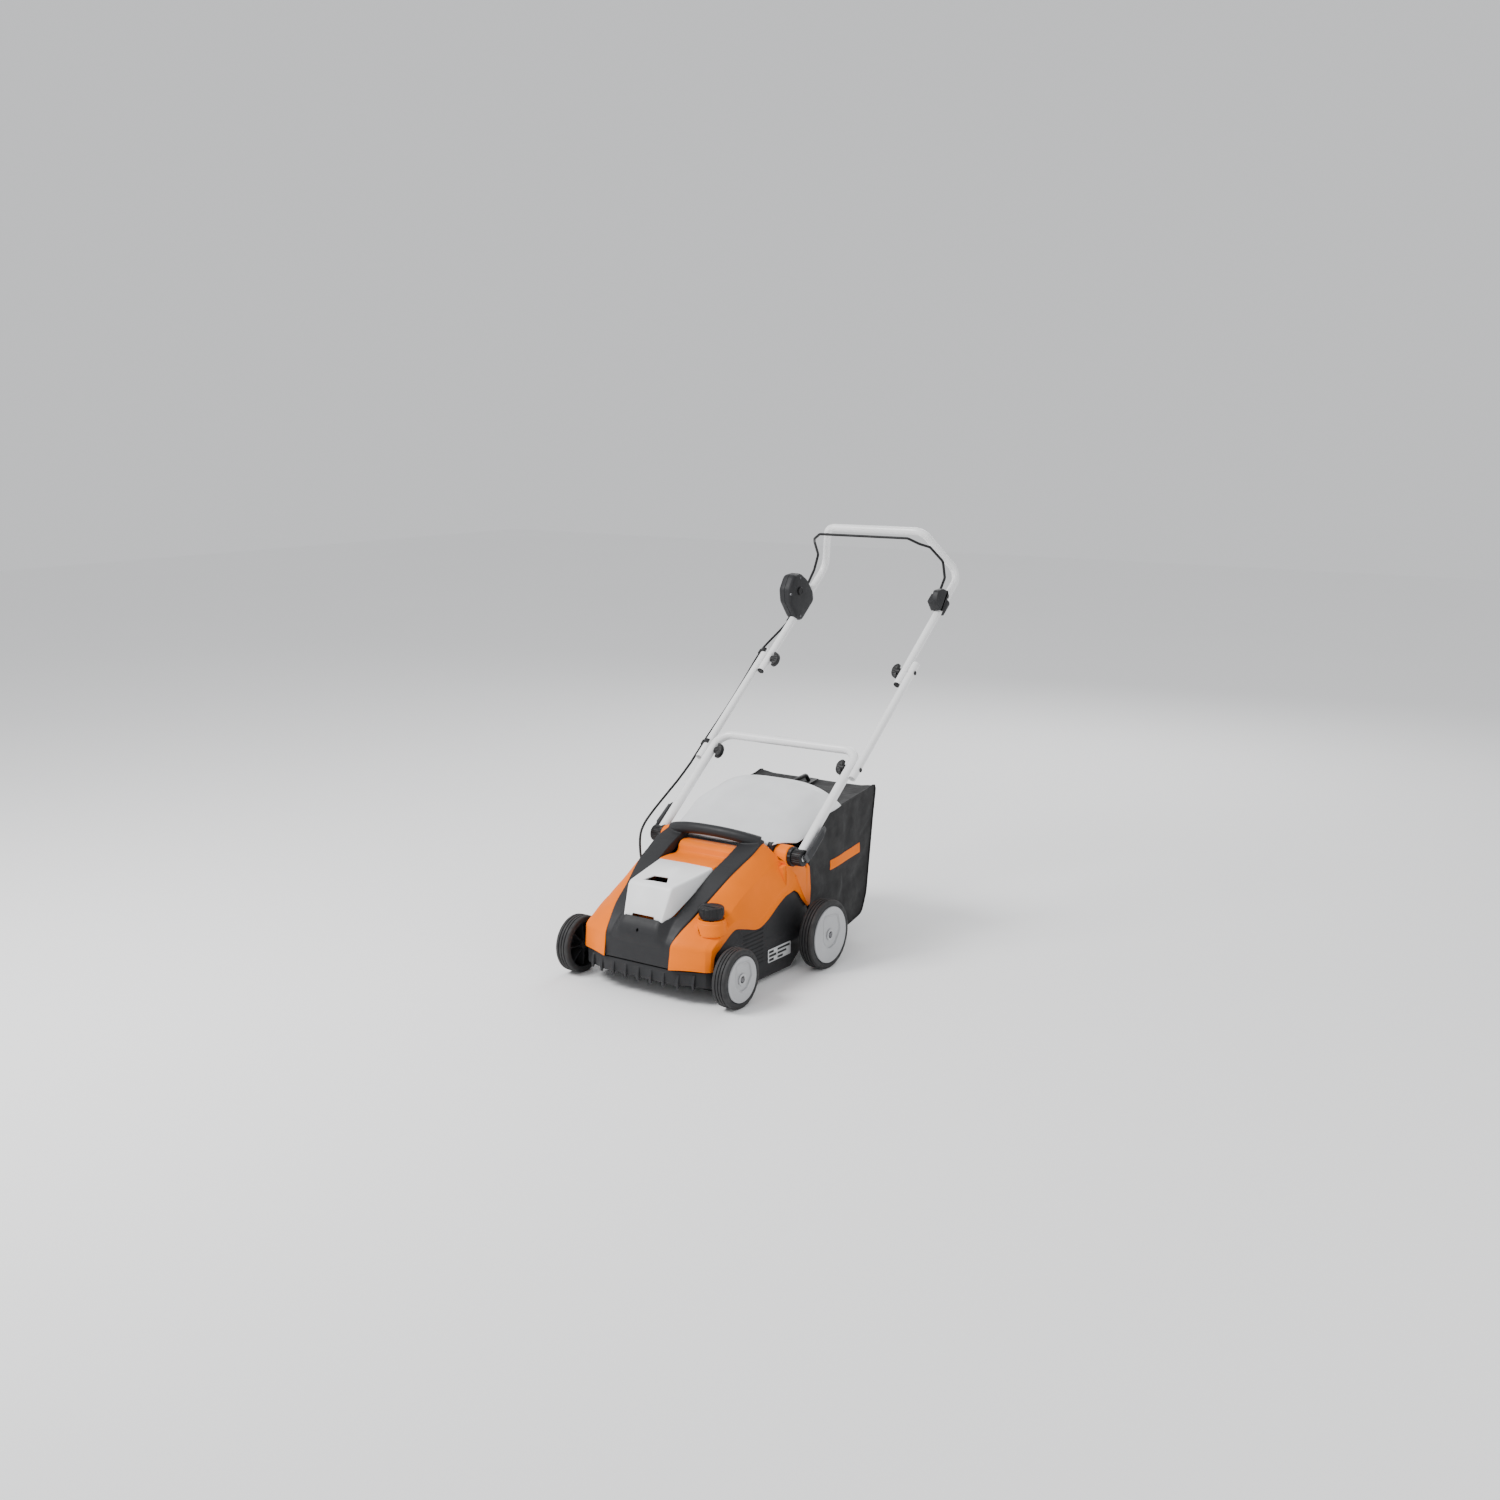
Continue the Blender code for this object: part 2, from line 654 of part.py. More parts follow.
# ---------------------------------------------------------------- battery compartment
def battery_tray():
    """The orange deck behind the battery cover, rolled up at the rear, with the battery well below."""
    lip = [(0.0570, 0.3010), (0.0900, 0.3025), (0.1240, 0.3010), (0.1340, 0.3060), (0.1390, 0.3200)]
    lip += [(0.1480, 0.3285), (0.1600, 0.3310), (0.1850, 0.3290), (0.1850, 0.3220), (0.1560, 0.3180)]
    lip += [(0.1470, 0.3000), (0.1300, 0.2930), (0.0570, 0.2930)]
    deck = prism(lip, "x", -0.0885, 0.0885)
    shelf = box((-0.0640, -0.0560, 0.2140), (0.0640, 0.0590, 0.2170))
    riser = box((-0.0720, 0.0545, 0.1700), (0.0720, 0.0600, 0.2940))
    well = box((-0.0560, -0.1000, 0.1670), (0.0560, 0.0600, 0.2150))
    body = join(deck, riser, shelf, well)
    hollow = box((-0.0520, -0.0960, 0.1710), (0.0520, 0.0470, 0.30))
    return cut(body, hollow)


def battery_cover_solid(inset, drop):
    rows = [
        (0.0530 - inset, 0.0869, 0.3004, 0.0875, 0.2850),
        (-0.0930 + inset, 0.0688, 0.2790, 0.0720, 0.2060),
        (-0.1265 + inset, 0.0590, 0.1990, 0.0600, 0.1890),
    ]
    sections = []
    for y, top_x, top_z, foot_x, foot_z in rows:
        top_x -= inset
        foot_x -= inset
        sections.append([(-foot_x, y, foot_z - drop), (-top_x, y, top_z - inset),
                         (top_x, y, top_z - inset), (foot_x, y, foot_z - drop)])
    return loft(sections)


def battery_cover():
    """A hinged lid: flat top, steep front, flanks that taper back along the arms."""
    shell = beveled(battery_cover_solid(0.0, 0.0), 0.006, 3, 35)
    hollow = battery_cover_solid(0.003, 0.03)
    slot = [(-0.0160, -0.0500), (0.0400, -0.0500), (0.0400, -0.0310), (0.0060, -0.0310)]
    window = prism(slot, "z", 0.26, 0.32)
    notch = box((-0.0290, -0.1400, 0.18), (0.0290, -0.1150, 0.2010))
    ears = [box((x - 0.005, 0.0420, 0.2800), (x + 0.005, 0.0515, 0.2985)) for x in (-0.045, 0.045)]
    return join(cut(shell, hollow, window, notch), *ears)


def battery_pack():
    body = beveled(box((-0.0515, -0.0955, 0.1715), (0.0515, 0.0465, 0.2540)), 0.006, 2)
    ridge = [(-0.0700, 0.2535), (-0.0300, 0.2535), (-0.0340, 0.2585), (-0.0660, 0.2585)]
    latch = prism(ridge, "x", -0.020, 0.020)
    groove = box((-0.0600, -0.0200, 0.2400), (-0.0455, 0.0250, 0.2600))
    return cut(join(body, latch), groove)


# ---------------------------------------------------------------- drive
def tine_drum():
    """A core tube carrying eleven three-armed tines, each turned a little from the last."""
    body = x_rod(DRUM_Y, DRUM_Z, 0.0270, -0.1560, 0.1560, 14)
    tines = []
    for number in range(11):
        x = -0.1450 + 0.029 * number
        turn = math.radians(33 * number)
        outline = []
        for arm in range(3):
            heading = turn + arm * math.tau / 3
            for angle, radius in ((-0.50, 0.0245), (0.00, DRUM_TIP_R), (0.15, DRUM_TIP_R), (0.50, 0.0245)):
                outline.append((DRUM_Y + radius * math.cos(heading + angle),
                                DRUM_Z + radius * math.sin(heading + angle)))
        tines.append(prism(outline, "x", x - 0.0014, x + 0.0014))
    return cut(join(body, *tines), x_rod(DRUM_Y, DRUM_Z, 0.0103, -0.17, 0.17, 12))


def drum_shaft():
    """The drum's shaft, stepped down at its bearings, with the belt's large pulley pressed on one end."""
    body = x_rod(DRUM_Y, DRUM_Z, 0.0100, -0.1745, 0.1745, 12)
    ends = x_rod(DRUM_Y, DRUM_Z, 0.0060, -0.1920, 0.1830, 12)
    return join(body, ends, pulley(DRUM_Y, DRUM_Z, DRUM_PULLEY_R, 24))


def bearing(low, high):
    bore = x_rod(DRUM_Y, DRUM_Z, 0.0063, low - 0.01, high + 0.01, 16)
    return cut(x_rod(DRUM_Y, DRUM_Z, 0.0130, low, high, 20), bore)


def pulley(y, z, radius, sides):
    """A wheel under the flat belt, with a flange on each side of it."""
    face = BELT_X
    body = x_rod(y, z, radius - 0.0015, face - 0.0040, face + 0.0040, sides)
    flanges = []
    for side in (-1, 1):
        middle = face + side * 0.0036
        flanges.append(x_rod(y, z, radius + 0.0008, middle - 0.0009, middle + 0.0009, sides))
    return join(body, *flanges)


def drive_belt():
    outer = prism(belt_outline(0.0012), "x", BELT_X - 0.0024, BELT_X + 0.0024)
    return cut(outer, prism(belt_outline(-0.0009), "x", BELT_X - 0.01, BELT_X + 0.01))


def belt_cover():
    """The plate that closes the belt's pocket from outside, held by two screws joined to it."""
    outline = arc_corners([(0.0420, 0.0220), (0.1480, 0.0220), (0.1480, 0.1360), (0.0420, 0.1360)], 0.030, 5)
    plate = prism(outline, "x", -0.2012, -0.1983)
    corners = [(0.0600, 0.0400), (0.1300, 0.0400), (0.1300, 0.1180), (0.0600, 0.1180)]
    rib = prism(arc_corners(corners, 0.022, 5), "x", -0.2035, -0.2000)
    heads = [x_rod(y, z, 0.0038, -0.2030, -0.2000, 10) for y, z in ((0.0520, 0.0310), (0.1380, 0.1270))]
    return join(plate, rib, *heads)


def motor_housing():
    body = x_rod(MOTOR_Y, MOTOR_Z, MOTOR_R, -0.1000, 0.1000, 24)
    nose = x_rod(MOTOR_Y, MOTOR_Z, 0.0200, -0.1200, -0.0990, 20)
    feet = [box((x - 0.012, 0.0850, 0.1633), (x + 0.012, 0.1250, 0.1800)) for x in (-0.070, 0.070)]
    bore = x_rod(MOTOR_Y, MOTOR_Z, 0.0053, -0.13, -0.04, 12)
    return cut(join(body, nose, *feet), bore)


def motor_shaft():
    shaft = x_rod(MOTOR_Y, MOTOR_Z, 0.0050, -0.1915, -0.0450, 10)
    return join(shaft, pulley(MOTOR_Y, MOTOR_Z, MOTOR_PULLEY_R, 14))


# ---------------------------------------------------------------- running gear
def front_axle():
    """A cranked bar: a cross rod in the housing, an arm at each end and a stub for each wheel."""
    wheel_z = FRONT_WHEEL_R
    body = x_rod(SWING_Y, SWING_Z, 0.0070, -0.2120, 0.2120, 12)
    pieces = []
    for side in (-1, 1):
        dx = FRONT_WHEEL_Y - SWING_Y
        dz = wheel_z - SWING_Z
        length = math.hypot(dx, dz)
        across = Vector((-dz / length, dx / length)) * 0.010
        outline = [(SWING_Y + across.x, SWING_Z + across.y), (SWING_Y - across.x, SWING_Z - across.y)]
        outline.append((FRONT_WHEEL_Y - across.x, wheel_z - across.y))
        outline.append((FRONT_WHEEL_Y + across.x, wheel_z + across.y))
        low, high = sorted((side * 0.2050, side * 0.2120))
        pieces.append(prism(outline, "x", low, high))
        pieces.append(x_rod(SWING_Y, SWING_Z, 0.0130, low, high, 16))
        pieces.append(x_rod(FRONT_WHEEL_Y, wheel_z, 0.0130, low, high, 16))
        low, high = sorted((side * 0.2100, side * (FRONT_DISC_X - 0.0040)))
        pieces.append(x_rod(FRONT_WHEEL_Y, wheel_z, STUB_R, low, high, 12))
        low, high = sorted((side * (FRONT_DISC_X - 0.0045), side * (FRONT_DISC_X - 0.0005)))
        pieces.append(x_rod(FRONT_WHEEL_Y, wheel_z, 0.0072, low, high, 6))
    low = (KNOB_X - 0.010, KNOB_Y - 0.010, SWING_Z - 0.0050)
    lever = box(low, (KNOB_X + 0.010, SWING_Y, SWING_Z + 0.0050))
    return join(body, lever, *pieces)


def rear_axle():
    body = x_rod(REAR_WHEEL_Y, REAR_WHEEL_R, 0.0060, -0.2350, 0.2350, 12)
    pieces = []
    for side in (-1, 1):
        low, high = sorted((side * 0.2300, side * (REAR_DISC_X - 0.0040)))
        pieces.append(x_rod(REAR_WHEEL_Y, REAR_WHEEL_R, STUB_R, low, high, 12))
        low, high = sorted((side * 0.1985, side * 0.2340))
        pieces.append(x_rod(REAR_WHEEL_Y, REAR_WHEEL_R, 0.0095, low, high, 16))
        low, high = sorted((side * (REAR_DISC_X - 0.0045), side * (REAR_DISC_X - 0.0005)))
        pieces.append(x_rod(REAR_WHEEL_Y, REAR_WHEEL_R, 0.0072, low, high, 6))
    return join(body, *pieces)


def tyre(y, radius, disc_x):
    """A solid rubber tyre with four ribs round it; it grips the rim's barrel."""
    outer = disc_x - 0.0022
    inner = outer - TYRE_WIDTH
    seat = radius - 0.0127
    profile = [(inner, seat), (inner, radius - 0.0045), (inner + 0.0030, radius - 0.0008)]
    rib = (TYRE_WIDTH - 0.0060) / 4
    for number in range(1, 4):
        x = inner + 0.0030 + rib * number
        profile += [(x - 0.0014, radius), (x, radius - 0.0026), (x + 0.0014, radius)]
    profile += [(outer - 0.0030, radius - 0.0008), (outer, radius - 0.0045), (outer, seat)]
    return lathe(profile, y, radius, WHEEL_STEPS)


def rim(y, radius, disc_x):
    """A cup open towards the machine: barrel, web, hub and the ribs between them."""
    barrel = radius - 0.0130
    outer = disc_x - 0.0026
    web = disc_x - 0.0066
    inner = outer - TYRE_WIDTH + 0.0010
    hub = inner + 0.0015
    profile = [(inner, barrel - 0.0030), (inner, barrel), (outer, barrel), (outer, barrel - 0.0026),
               (web + 0.0010, barrel - 0.0030), (web + 0.0010, STUB_R + GAP), (hub, STUB_R + GAP),
               (hub, 0.0120), (web - 0.0020, 0.0140), (web - 0.0020, barrel - 0.0030)]
    ribs = []
    for number in range(RIM_RIBS):
        angle = math.tau * number / RIM_RIBS
        bar = box((inner + 0.0060, -0.0011, 0.0100), (web, 0.0011, barrel - 0.0010))
        bar.data.transform(Matrix.Rotation(angle, 4, "X"))
        bar.data.transform(Matrix.Translation((0, y, radius)))
        ribs.append(bar)
    return join(lathe(profile, y, radius, WHEEL_STEPS), *ribs)


def wheel_cap(y, radius, disc_x):
    """The light disc over the web, dished inside its rim, with a D-shaped relief off centre."""
    edge = radius - 0.0170
    back = disc_x - 0.0053
    face = disc_x - 0.0012
    profile = [(back, 0.0085), (back, edge), (disc_x - 0.0012, edge), (disc_x, edge - 0.0016),
               (disc_x, edge - 0.0050), (face, edge - 0.0075), (face, 0.0085)]
    scale = radius / REAR_WHEEL_R
    corners = [(-0.034, -0.012), (0.030, -0.030), (0.036, 0.044), (-0.014, 0.052)]
    outline = arc_corners(corners, [0.012, 0.02, 0.02, 0.02], 3)
    outline = [(y + a * scale, radius + b * scale) for a, b in outline]
    relief = prism(outline, "x", face - 0.0010, face + 0.01)
    hub = x_rod(y, radius, 0.0165, face - 0.0010, face + 0.0009, 16)
    body = cut(lathe(profile, y, radius, WHEEL_STEPS), relief)
    return cut(join(body, hub), x_rod(y, radius, 0.0092, back - 0.01, disc_x + 0.01, 12))


def depth_knob():
    """A fluted knob on a spindle that bears on the front axle's lever."""
    grip = []
    for k in range(24):
        angle = math.tau * k / 24
        radius = 0.0320 if k % 4 else 0.0303
        grip.append((KNOB_X + radius * math.cos(angle), KNOB_Y + radius * math.sin(angle)))
    body = beveled(prism(grip, "z", 0.2150, 0.2395), 0.003, 1, 50)
    collar = rod((KNOB_X, KNOB_Y, 0.2090), (KNOB_X, KNOB_Y, 0.2160), 0.0290, 24)
    spindle = rod((KNOB_X, KNOB_Y, 0.1265), (KNOB_X, KNOB_Y, 0.2100), 0.0060, 12)
    return join(body, collar, spindle)


# ---------------------------------------------------------------- catcher
def flap_sections():
    """Arched sections from the hinge to the rear edge of the flap."""
    rows = [
        (0.2050, 0.1440, 0.3500, 0.3440), (0.2300, 0.1440, 0.3590, 0.3450), (0.2690, 0.1480, 0.3800, 0.3480),
        (0.2860, 0.1820, 0.3900, 0.3420), (0.3300, 0.2020, 0.4080, 0.3560), (0.3900, 0.2050, 0.4300, 0.3850),
        (0.4500, 0.2055, 0.4480, 0.3950), (0.4760, 0.2060, 0.4535, 0.4020),
    ]
    sections = []
    for y, half_x, centre, edge in rows:
        outer = []
        for k in range(11):
            t = -1 + k / 5
            drop = abs(t) ** 3.2
            outer.append(Vector((half_x * t, y, centre + (edge - centre) * drop)))
        inner = [point + Vector((0, 0, -0.0028)) for point in reversed(outer)]
        sections.append(outer + inner)
    return sections


def rear_flap():
    shell = loft(flap_sections())
    knuckles = []
    for x in (-0.1200, 0.1200):
        outline = [(0.2102, 0.3303), (0.2199, 0.3303), (0.2260, 0.3491), (0.2080, 0.3454)]
        knuckles.append(prism(outline, "x", x - 0.010, x + 0.010))
    pin = x_rod(FLAP_Y, FLAP_Z, 0.0030, -0.1550, 0.1550, 12)
    return join(shell, *knuckles, pin)


def catcher_frame():
    """The stiff mouth of the bag, with two tabs that push into the discharge opening."""
    outer = arc_corners([(-0.186, 0.098), (0.186, 0.098), (0.186, 0.350), (-0.186, 0.350)], 0.020, 4)
    inner = arc_corners([(-0.172, 0.112), (0.172, 0.112), (0.172, 0.336), (-0.172, 0.336)], 0.012, 4)
    ring = cut(prism(outer, "y", 0.3330, 0.3440), prism(inner, "y", 0.32, 0.36))
    tabs = []
    for x in (-0.1380, 0.1380):
        tabs.append(box((x - 0.006, 0.3150, 0.1550), (x + 0.006, 0.3390, 0.2050)))
        low, high = sorted((x, x / abs(x) * 0.1790))
        tabs.append(box((low, 0.3335, 0.1550), (high, 0.3400, 0.2050)))
    return join(ring, *tabs)


def catcher_bag():
    """A fabric box on the frame: flat sides, rounded heel, its mouth facing the chute."""
    outline = [(0.3443, 0.102), (0.400, 0.072), (0.541, 0.045), (0.614, 0.063), (0.638, 0.118)]
    outline += [(0.668, 0.3335), (0.6865, 0.417), (0.592, 0.4075)]
    outline += [(0.500, 0.3940), (0.430, 0.3760), (0.3443, 0.3470)]
    body = beveled(prism(outline, "x", -0.1905, 0.1905), 0.006, 2, 40)
    room = [(0.330, 0.108), (0.402, 0.076), (0.540, 0.049), (0.610, 0.066), (0.634, 0.120), (0.663, 0.3335)]
    room += [(0.680, 0.412), (0.592, 0.4035), (0.500, 0.3900), (0.430, 0.3720), (0.330, 0.3390)]
    return cut(body, prism(room, "x", -0.1865, 0.1865))


def catcher_grip():
    route = bend([(0, 0.522, 0.4002), (0, 0.532, 0.4255), (0, 0.618, 0.4330), (0, 0.632, 0.4155)], 0.012, 3)
    strap = tube(route, 0.0060, 2)
    outline = [(0.500, 0.3950), (0.592, 0.4085), (0.660, 0.4150)]
    outline += [(0.660, 0.4176), (0.592, 0.4108), (0.500, 0.3972)]
    return join(prism(outline, "x", -0.016, 0.016), strap)


# ---------------------------------------------------------------- handle
def bolt_bore(along, low, high):
    point = leg(0, along)
    return x_rod(point.y, point.z, 0.0036, low, high, 10)


def lower_handle():
    """The U-shaped lower tube, flattened into round eyes at the pivots."""
    corner = leg(0, LOWER_BAR_L)
    points = [leg(LOWER_X, PIVOT_L + 0.006), (LOWER_X, corner.y, corner.z)]
    points += [(-LOWER_X, corner.y, corner.z), leg(-LOWER_X, PIVOT_L + 0.006)]
    shell = hollow_tube(bend(points, 0.045, 5), LOWER_R, TUBE_WALL)
    eyes = []
    for side in (-1, 1):
        low, high = sorted((side * 0.2158, side * 0.2404))
        eyes.append(x_rod(PIVOT.y, PIVOT.z, 0.0165, low, high, 20))
    bores = [x_rod(PIVOT.y, PIVOT.z, 0.0048, -0.26, 0.26, 12), bolt_bore(LOWER_BOLT_L, -0.26, 0.26)]
    return cut(join(shell, *eyes), *bores)


def mid_tube(side):
    route = [leg(side * MID_X, MID_START_L), leg(side * MID_X, 0.5), leg(side * MID_X, MID_END_L)]
    shell = hollow_tube(route, TUBE_R, TUBE_WALL)
    low, high = sorted((side * 0.23, side * 0.28))
    return cut(shell, bolt_bore(LOWER_BOLT_L, low, high), bolt_bore(UPPER_BOLT_L, low, high))


def upper_handle():
    """The top loop: two legs that kink forward and in to the grip bar, their feet plugged."""
    kink = leg(UPPER_X, 1.0727)
    top = Vector((0.1598, 0.9750, 1.1020))
    points = [leg(UPPER_X, UPPER_START_L), kink + UP_LEG * 0.004, top, Vector((-top.x, top.y, top.z)),
              Vector((-kink.x, kink.y, kink.z)) + UP_LEG * 0.004, leg(-UPPER_X, UPPER_START_L)]
    shell = hollow_tube(bend(points, 0.038, 4), TUBE_R, TUBE_WALL)
    plugs = []
    for side in (-1, 1):
        foot = leg(side * UPPER_X, UPPER_START_L - 0.003)
        plugs.append(rod(foot, leg(side * UPPER_X, UPPER_START_L + 0.006), 0.0102, 12))
    return cut(join(shell, *plugs), bolt_bore(UPPER_BOLT_L, -0.26, 0.26))


def pivot_disc(side):
    """The toothed ring between the housing's boss and the handle's eye."""
    outline = []
    for k in range(32):
        angle = math.tau * k / 32
        radius = 0.0262 if k % 2 else 0.0244
        outline.append((PIVOT.y + radius * math.cos(angle), PIVOT.z + radius * math.sin(angle)))
    low, high = sorted((side * 0.2053, side * 0.2155))
    return cut(prism(outline, "x", low, high), x_rod(PIVOT.y, PIVOT.z, 0.0048, -0.26, 0.26, 12))


def pivot_bolt(side):
    low, high = sorted((side * 0.1560, side * 0.2420))
    shank = x_rod(PIVOT.y, PIVOT.z, 0.0045, low, high, 12)
    low, high = sorted((side * 0.2407, side * 0.2438))
    head = x_rod(PIVOT.y, PIVOT.z, 0.0095, low, high, 16)
    return join(shank, head)


def clamp_lever(side):
    """A broad ribbed cam lever that lies up along the outside of the leg."""
    centre = leg(side * 0.2478, PIVOT_L)
    cam = rod(centre - OFF_LEG * 0.0160, centre + OFF_LEG * 0.0100, 0.0034, 12)
    outline = [(-0.0028, -0.0150), (0.030, -0.0210), (0.092, -0.0200), (0.110, -0.0130)]
    outline += [(0.112, -0.0020), (0.098, 0.0045), (0.030, 0.0085), (-0.0028, 0.0100)]
    low, high = sorted((side * 0.2466, side * 0.2516))
    arm = prism([leg_flat(PIVOT_L + a, b) for a, b in outline], "x", low, high)
    low, high = sorted((side * 0.2510, side * 0.2545))
    ribs = []
    for off in (-0.0150, -0.0070, 0.0010):
        corners = [(0.012, off - 0.0014), (0.092, off - 0.0014), (0.092, off + 0.0014), (0.012, off + 0.0014)]
        ribs.append(prism([leg_flat(PIVOT_L + a, b) for a, b in corners], "x", low, high))
    return join(cam, arm, *ribs)


def clamp_knob(side, along, inner_x, outer_x):
    """A half-round hand nut on the inside of the leg, its bolt through both tubes and a head outside."""
    centre = leg(0, along)
    face = inner_x - 0.0005
    low, high = sorted((side * (face - 0.010), side * (outer_x + 0.001)))
    shank = x_rod(centre.y, centre.z, 0.0033, low, high, 10)
    low, high = sorted((side * (outer_x + 0.0003), side * (outer_x + 0.0022)))
    head = x_rod(centre.y, centre.z, 0.0062, low, high, 12)
    low, high = sorted((side * (face - 0.0140), side * face))
    hub = x_rod(centre.y, centre.z, 0.0095, low, high, 14)
    outline = []
    for k in range(11):
        angle = math.pi * k / 10
        outline.append((side * (face - 0.0090 - 0.0170 * math.sin(angle)), 0.0210 * math.cos(angle)))
    wings = prism(outline, "z", -0.0075, 0.0075)
    wings.data.transform(Matrix.Translation(centre) @ Matrix.Rotation(KNOB_TURN, 4, "X"))
    return join(hub, shank, head, wings)


def switch_outline():
    corners = [(0.9150, 0.1190), (0.9530, 0.0860), (0.9585, 0.0200), (0.9500, -0.0110), (0.9250, -0.0165),
               (0.8680, -0.0175), (0.8500, -0.0100), (0.8470, 0.0700), (0.8670, 0.1020)]
    radii = [0.022, 0.030, 0.012, 0.006, 0.010, 0.008, 0.006, 0.020, 0.020]
    return [leg_flat(a, b) for a, b in arc_corners(corners, radii, 3)]


def tube_groove(low_l, high_l, side):
    return rod(leg(side * UPPER_X, low_l), leg(side * UPPER_X, high_l), TUBE_R + GAP, 16)


def switch_half(outer):
    """Half of the switch box; the upper tube lies in a groove shared by both halves."""
    split = -UPPER_X
    if outer:
        body = prism(switch_outline(), "x", -0.2500, split - 0.00015)
        lug = prism([leg_flat(a, b) for a, b in arc_corners(
            [(0.945, 0.016), (0.9660, 0.0180), (0.9760, 0.0330), (0.9640, 0.0500), (0.945, 0.055)],
            [0, 0.006, 0.008, 0.006, 0], 3)], "x", -0.2480, split - 0.0012)
        gland = rod(leg(-0.2437, 0.8420, -0.0030), leg(-0.2437, 0.8560, -0.0030), 0.0060, 12)
        shape = cut(join(body, lug, gland), tube_groove(0.80, 1.00, -1))
        pin = x_rod(BAIL_AXIS.y, BAIL_AXIS.z, 0.0036, -0.2455, -0.2100, 10)
        lead = rod(leg(-0.2437, 0.80, -0.0030), leg(-0.2437, 0.8530, -0.0030), CABLE_R + GAP, 10)
        return cut(shape, pin, lead, box((-0.2289, 0.8, 0.7), (-0.2, 1.05, 1.05)))
    body = prism(switch_outline(), "x", split + 0.00015, -0.2070)
    places = ((0.8700, 0.0800), (0.9420, 0.0780), (0.9450, 0.0050), (0.8620, 0.0030))
    screws = [leg(0, a, b) for a, b in places]
    holes = [x_rod(p.y, p.z, 0.0032, -0.2100, -0.2, 8) for p in screws]
    button = leg(0, 0.9030, 0.0640)
    well = x_rod(button.y, button.z, 0.0125, -0.2160, -0.2, 20)
    return cut(body, tube_groove(0.80, 1.00, -1), well, *holes)


def lock_button():
    centre = leg(0, 0.9030, 0.0640)
    cap = x_rod(centre.y, centre.z, 0.0120, -0.2110, -0.2020, 20)
    return beveled(cap, 0.0012, 1)


def switch_bail():
    """A bent wire across the grip, its ends turned outward into the switch box and the bracket."""
    points = [Vector((0.2380, BAIL_AXIS.y, BAIL_AXIS.z)), Vector((0.2235, BAIL_AXIS.y, BAIL_AXIS.z))]
    points += [Vector((0.2225, 0.9980, 0.9710)), Vector((0.2123, 1.0040, 1.0170))]
    points += [Vector((0.1957, 0.9566, 1.0600))]
    points += [Vector((0.1765, 0.9275, 1.0706)), Vector((0.1482, 0.9110, 1.0860))]
    other = [Vector((-p.x, p.y, p.z)) for p in reversed(points)]
    return tube(bend(points + other, 0.006, 1), BAIL_R, 2)


def bail_bracket():
    """The clamp on the right leg that carries the far end of the bail."""
    corners = [(0.9120, 0.0150), (0.9120, 0.0560), (0.9350, 0.0720)]
    corners += [(0.9600, 0.0560), (0.9760, 0.0330), (0.9660, 0.0150)]
    outline = [leg_flat(a, b) for a, b in arc_corners(corners, [0.002, 0.006, 0.010, 0.006, 0.006, 0.004], 2)]
    box_part = prism(outline, "x", 0.2302, 0.2480)
    corners = ((0.912, 0.012), (0.912, 0.050), (0.945, 0.050), (0.945, 0.012))
    inner = prism([leg_flat(a, b) for a, b in corners], "x", 0.2130, 0.2310)
    clamp = rod(leg(UPPER_X, 0.9250), leg(UPPER_X, 0.9640), 0.0185, 16)
    corners = ((0.930, -0.024), (0.930, -0.010), (0.958, -0.010), (0.958, -0.024))
    lip = prism([leg_flat(a, b) for a, b in corners], "x", 0.2230, 0.2350)
    body = join(clamp, box_part, inner, lip)
    pin = x_rod(BAIL_AXIS.y, BAIL_AXIS.z, 0.0036, 0.2100, 0.2455, 10)
    low = (0.205, BAIL_AXIS.y - 0.012, BAIL_AXIS.z - 0.012)
    room = box(low, (0.2300, BAIL_AXIS.y + 0.05, BAIL_AXIS.z + 0.05))
    return cut(body, tube_groove(0.90, 1.00, 1), pin, room)


# ---------------------------------------------------------------- cable and its clips
def cable_clip(along):
    """A snap ring on the mid tube with a smaller ring for the cable."""
    ring = rod(leg(-MID_X, along - 0.007), leg(-MID_X, along + 0.007), 0.0140, 16)
    hook = rod(leg(CABLE_X, along - 0.007), leg(CABLE_X, along + 0.007), 0.0060, 12)
    mouth = box((-0.2450, 0.40, 0.40), (-0.2300, 0.90, 0.90))
    tube_room = rod(leg(-MID_X, along - 0.02), leg(-MID_X, along + 0.02), TUBE_R + GAP, 16)
    cable_room = rod(leg(CABLE_X, along - 0.02), leg(CABLE_X, along + 0.02), CABLE_R + GAP, 10)
    return cut(join(ring, hook), tube_room, cable_room, mouth)


def smooth_route(points, count):
    """Evenly shared points on a Catmull-Rom curve through the given ones."""
    points = [Vector(p) for p in points]
    ends = [points[0] * 2 - points[1]] + points + [points[-1] * 2 - points[-2]]
    route = []
    for k in range(count):
        t = k / (count - 1) * (len(points) - 1)
        i = min(int(t), len(points) - 2)
        t -= i
        a, b, c, d = ends[i:i + 4]
        square = (a * 2 - b * 5 + c * 4 - d) * t * t
        route.append(0.5 * (b * 2 + (c - a) * t + square + (b * 3 - a - c * 3 + d) * t**3))
    return route


def cable_lower():
    points = [(-0.1890, 0.1180, 0.2520), (-0.2080, 0.1290, 0.2740), (-0.2290, 0.1540, 0.3160)]
    points += [(-0.2480, 0.1950, 0.3400), (-0.2640, 0.2560, 0.3640), (-0.2690, 0.3300, 0.4020)]
    points += [(-0.2690, 0.3800, 0.4310), leg(CABLE_X, 0.2600)]
    return tube(smooth_route(points, 24), CABLE_R, 2)


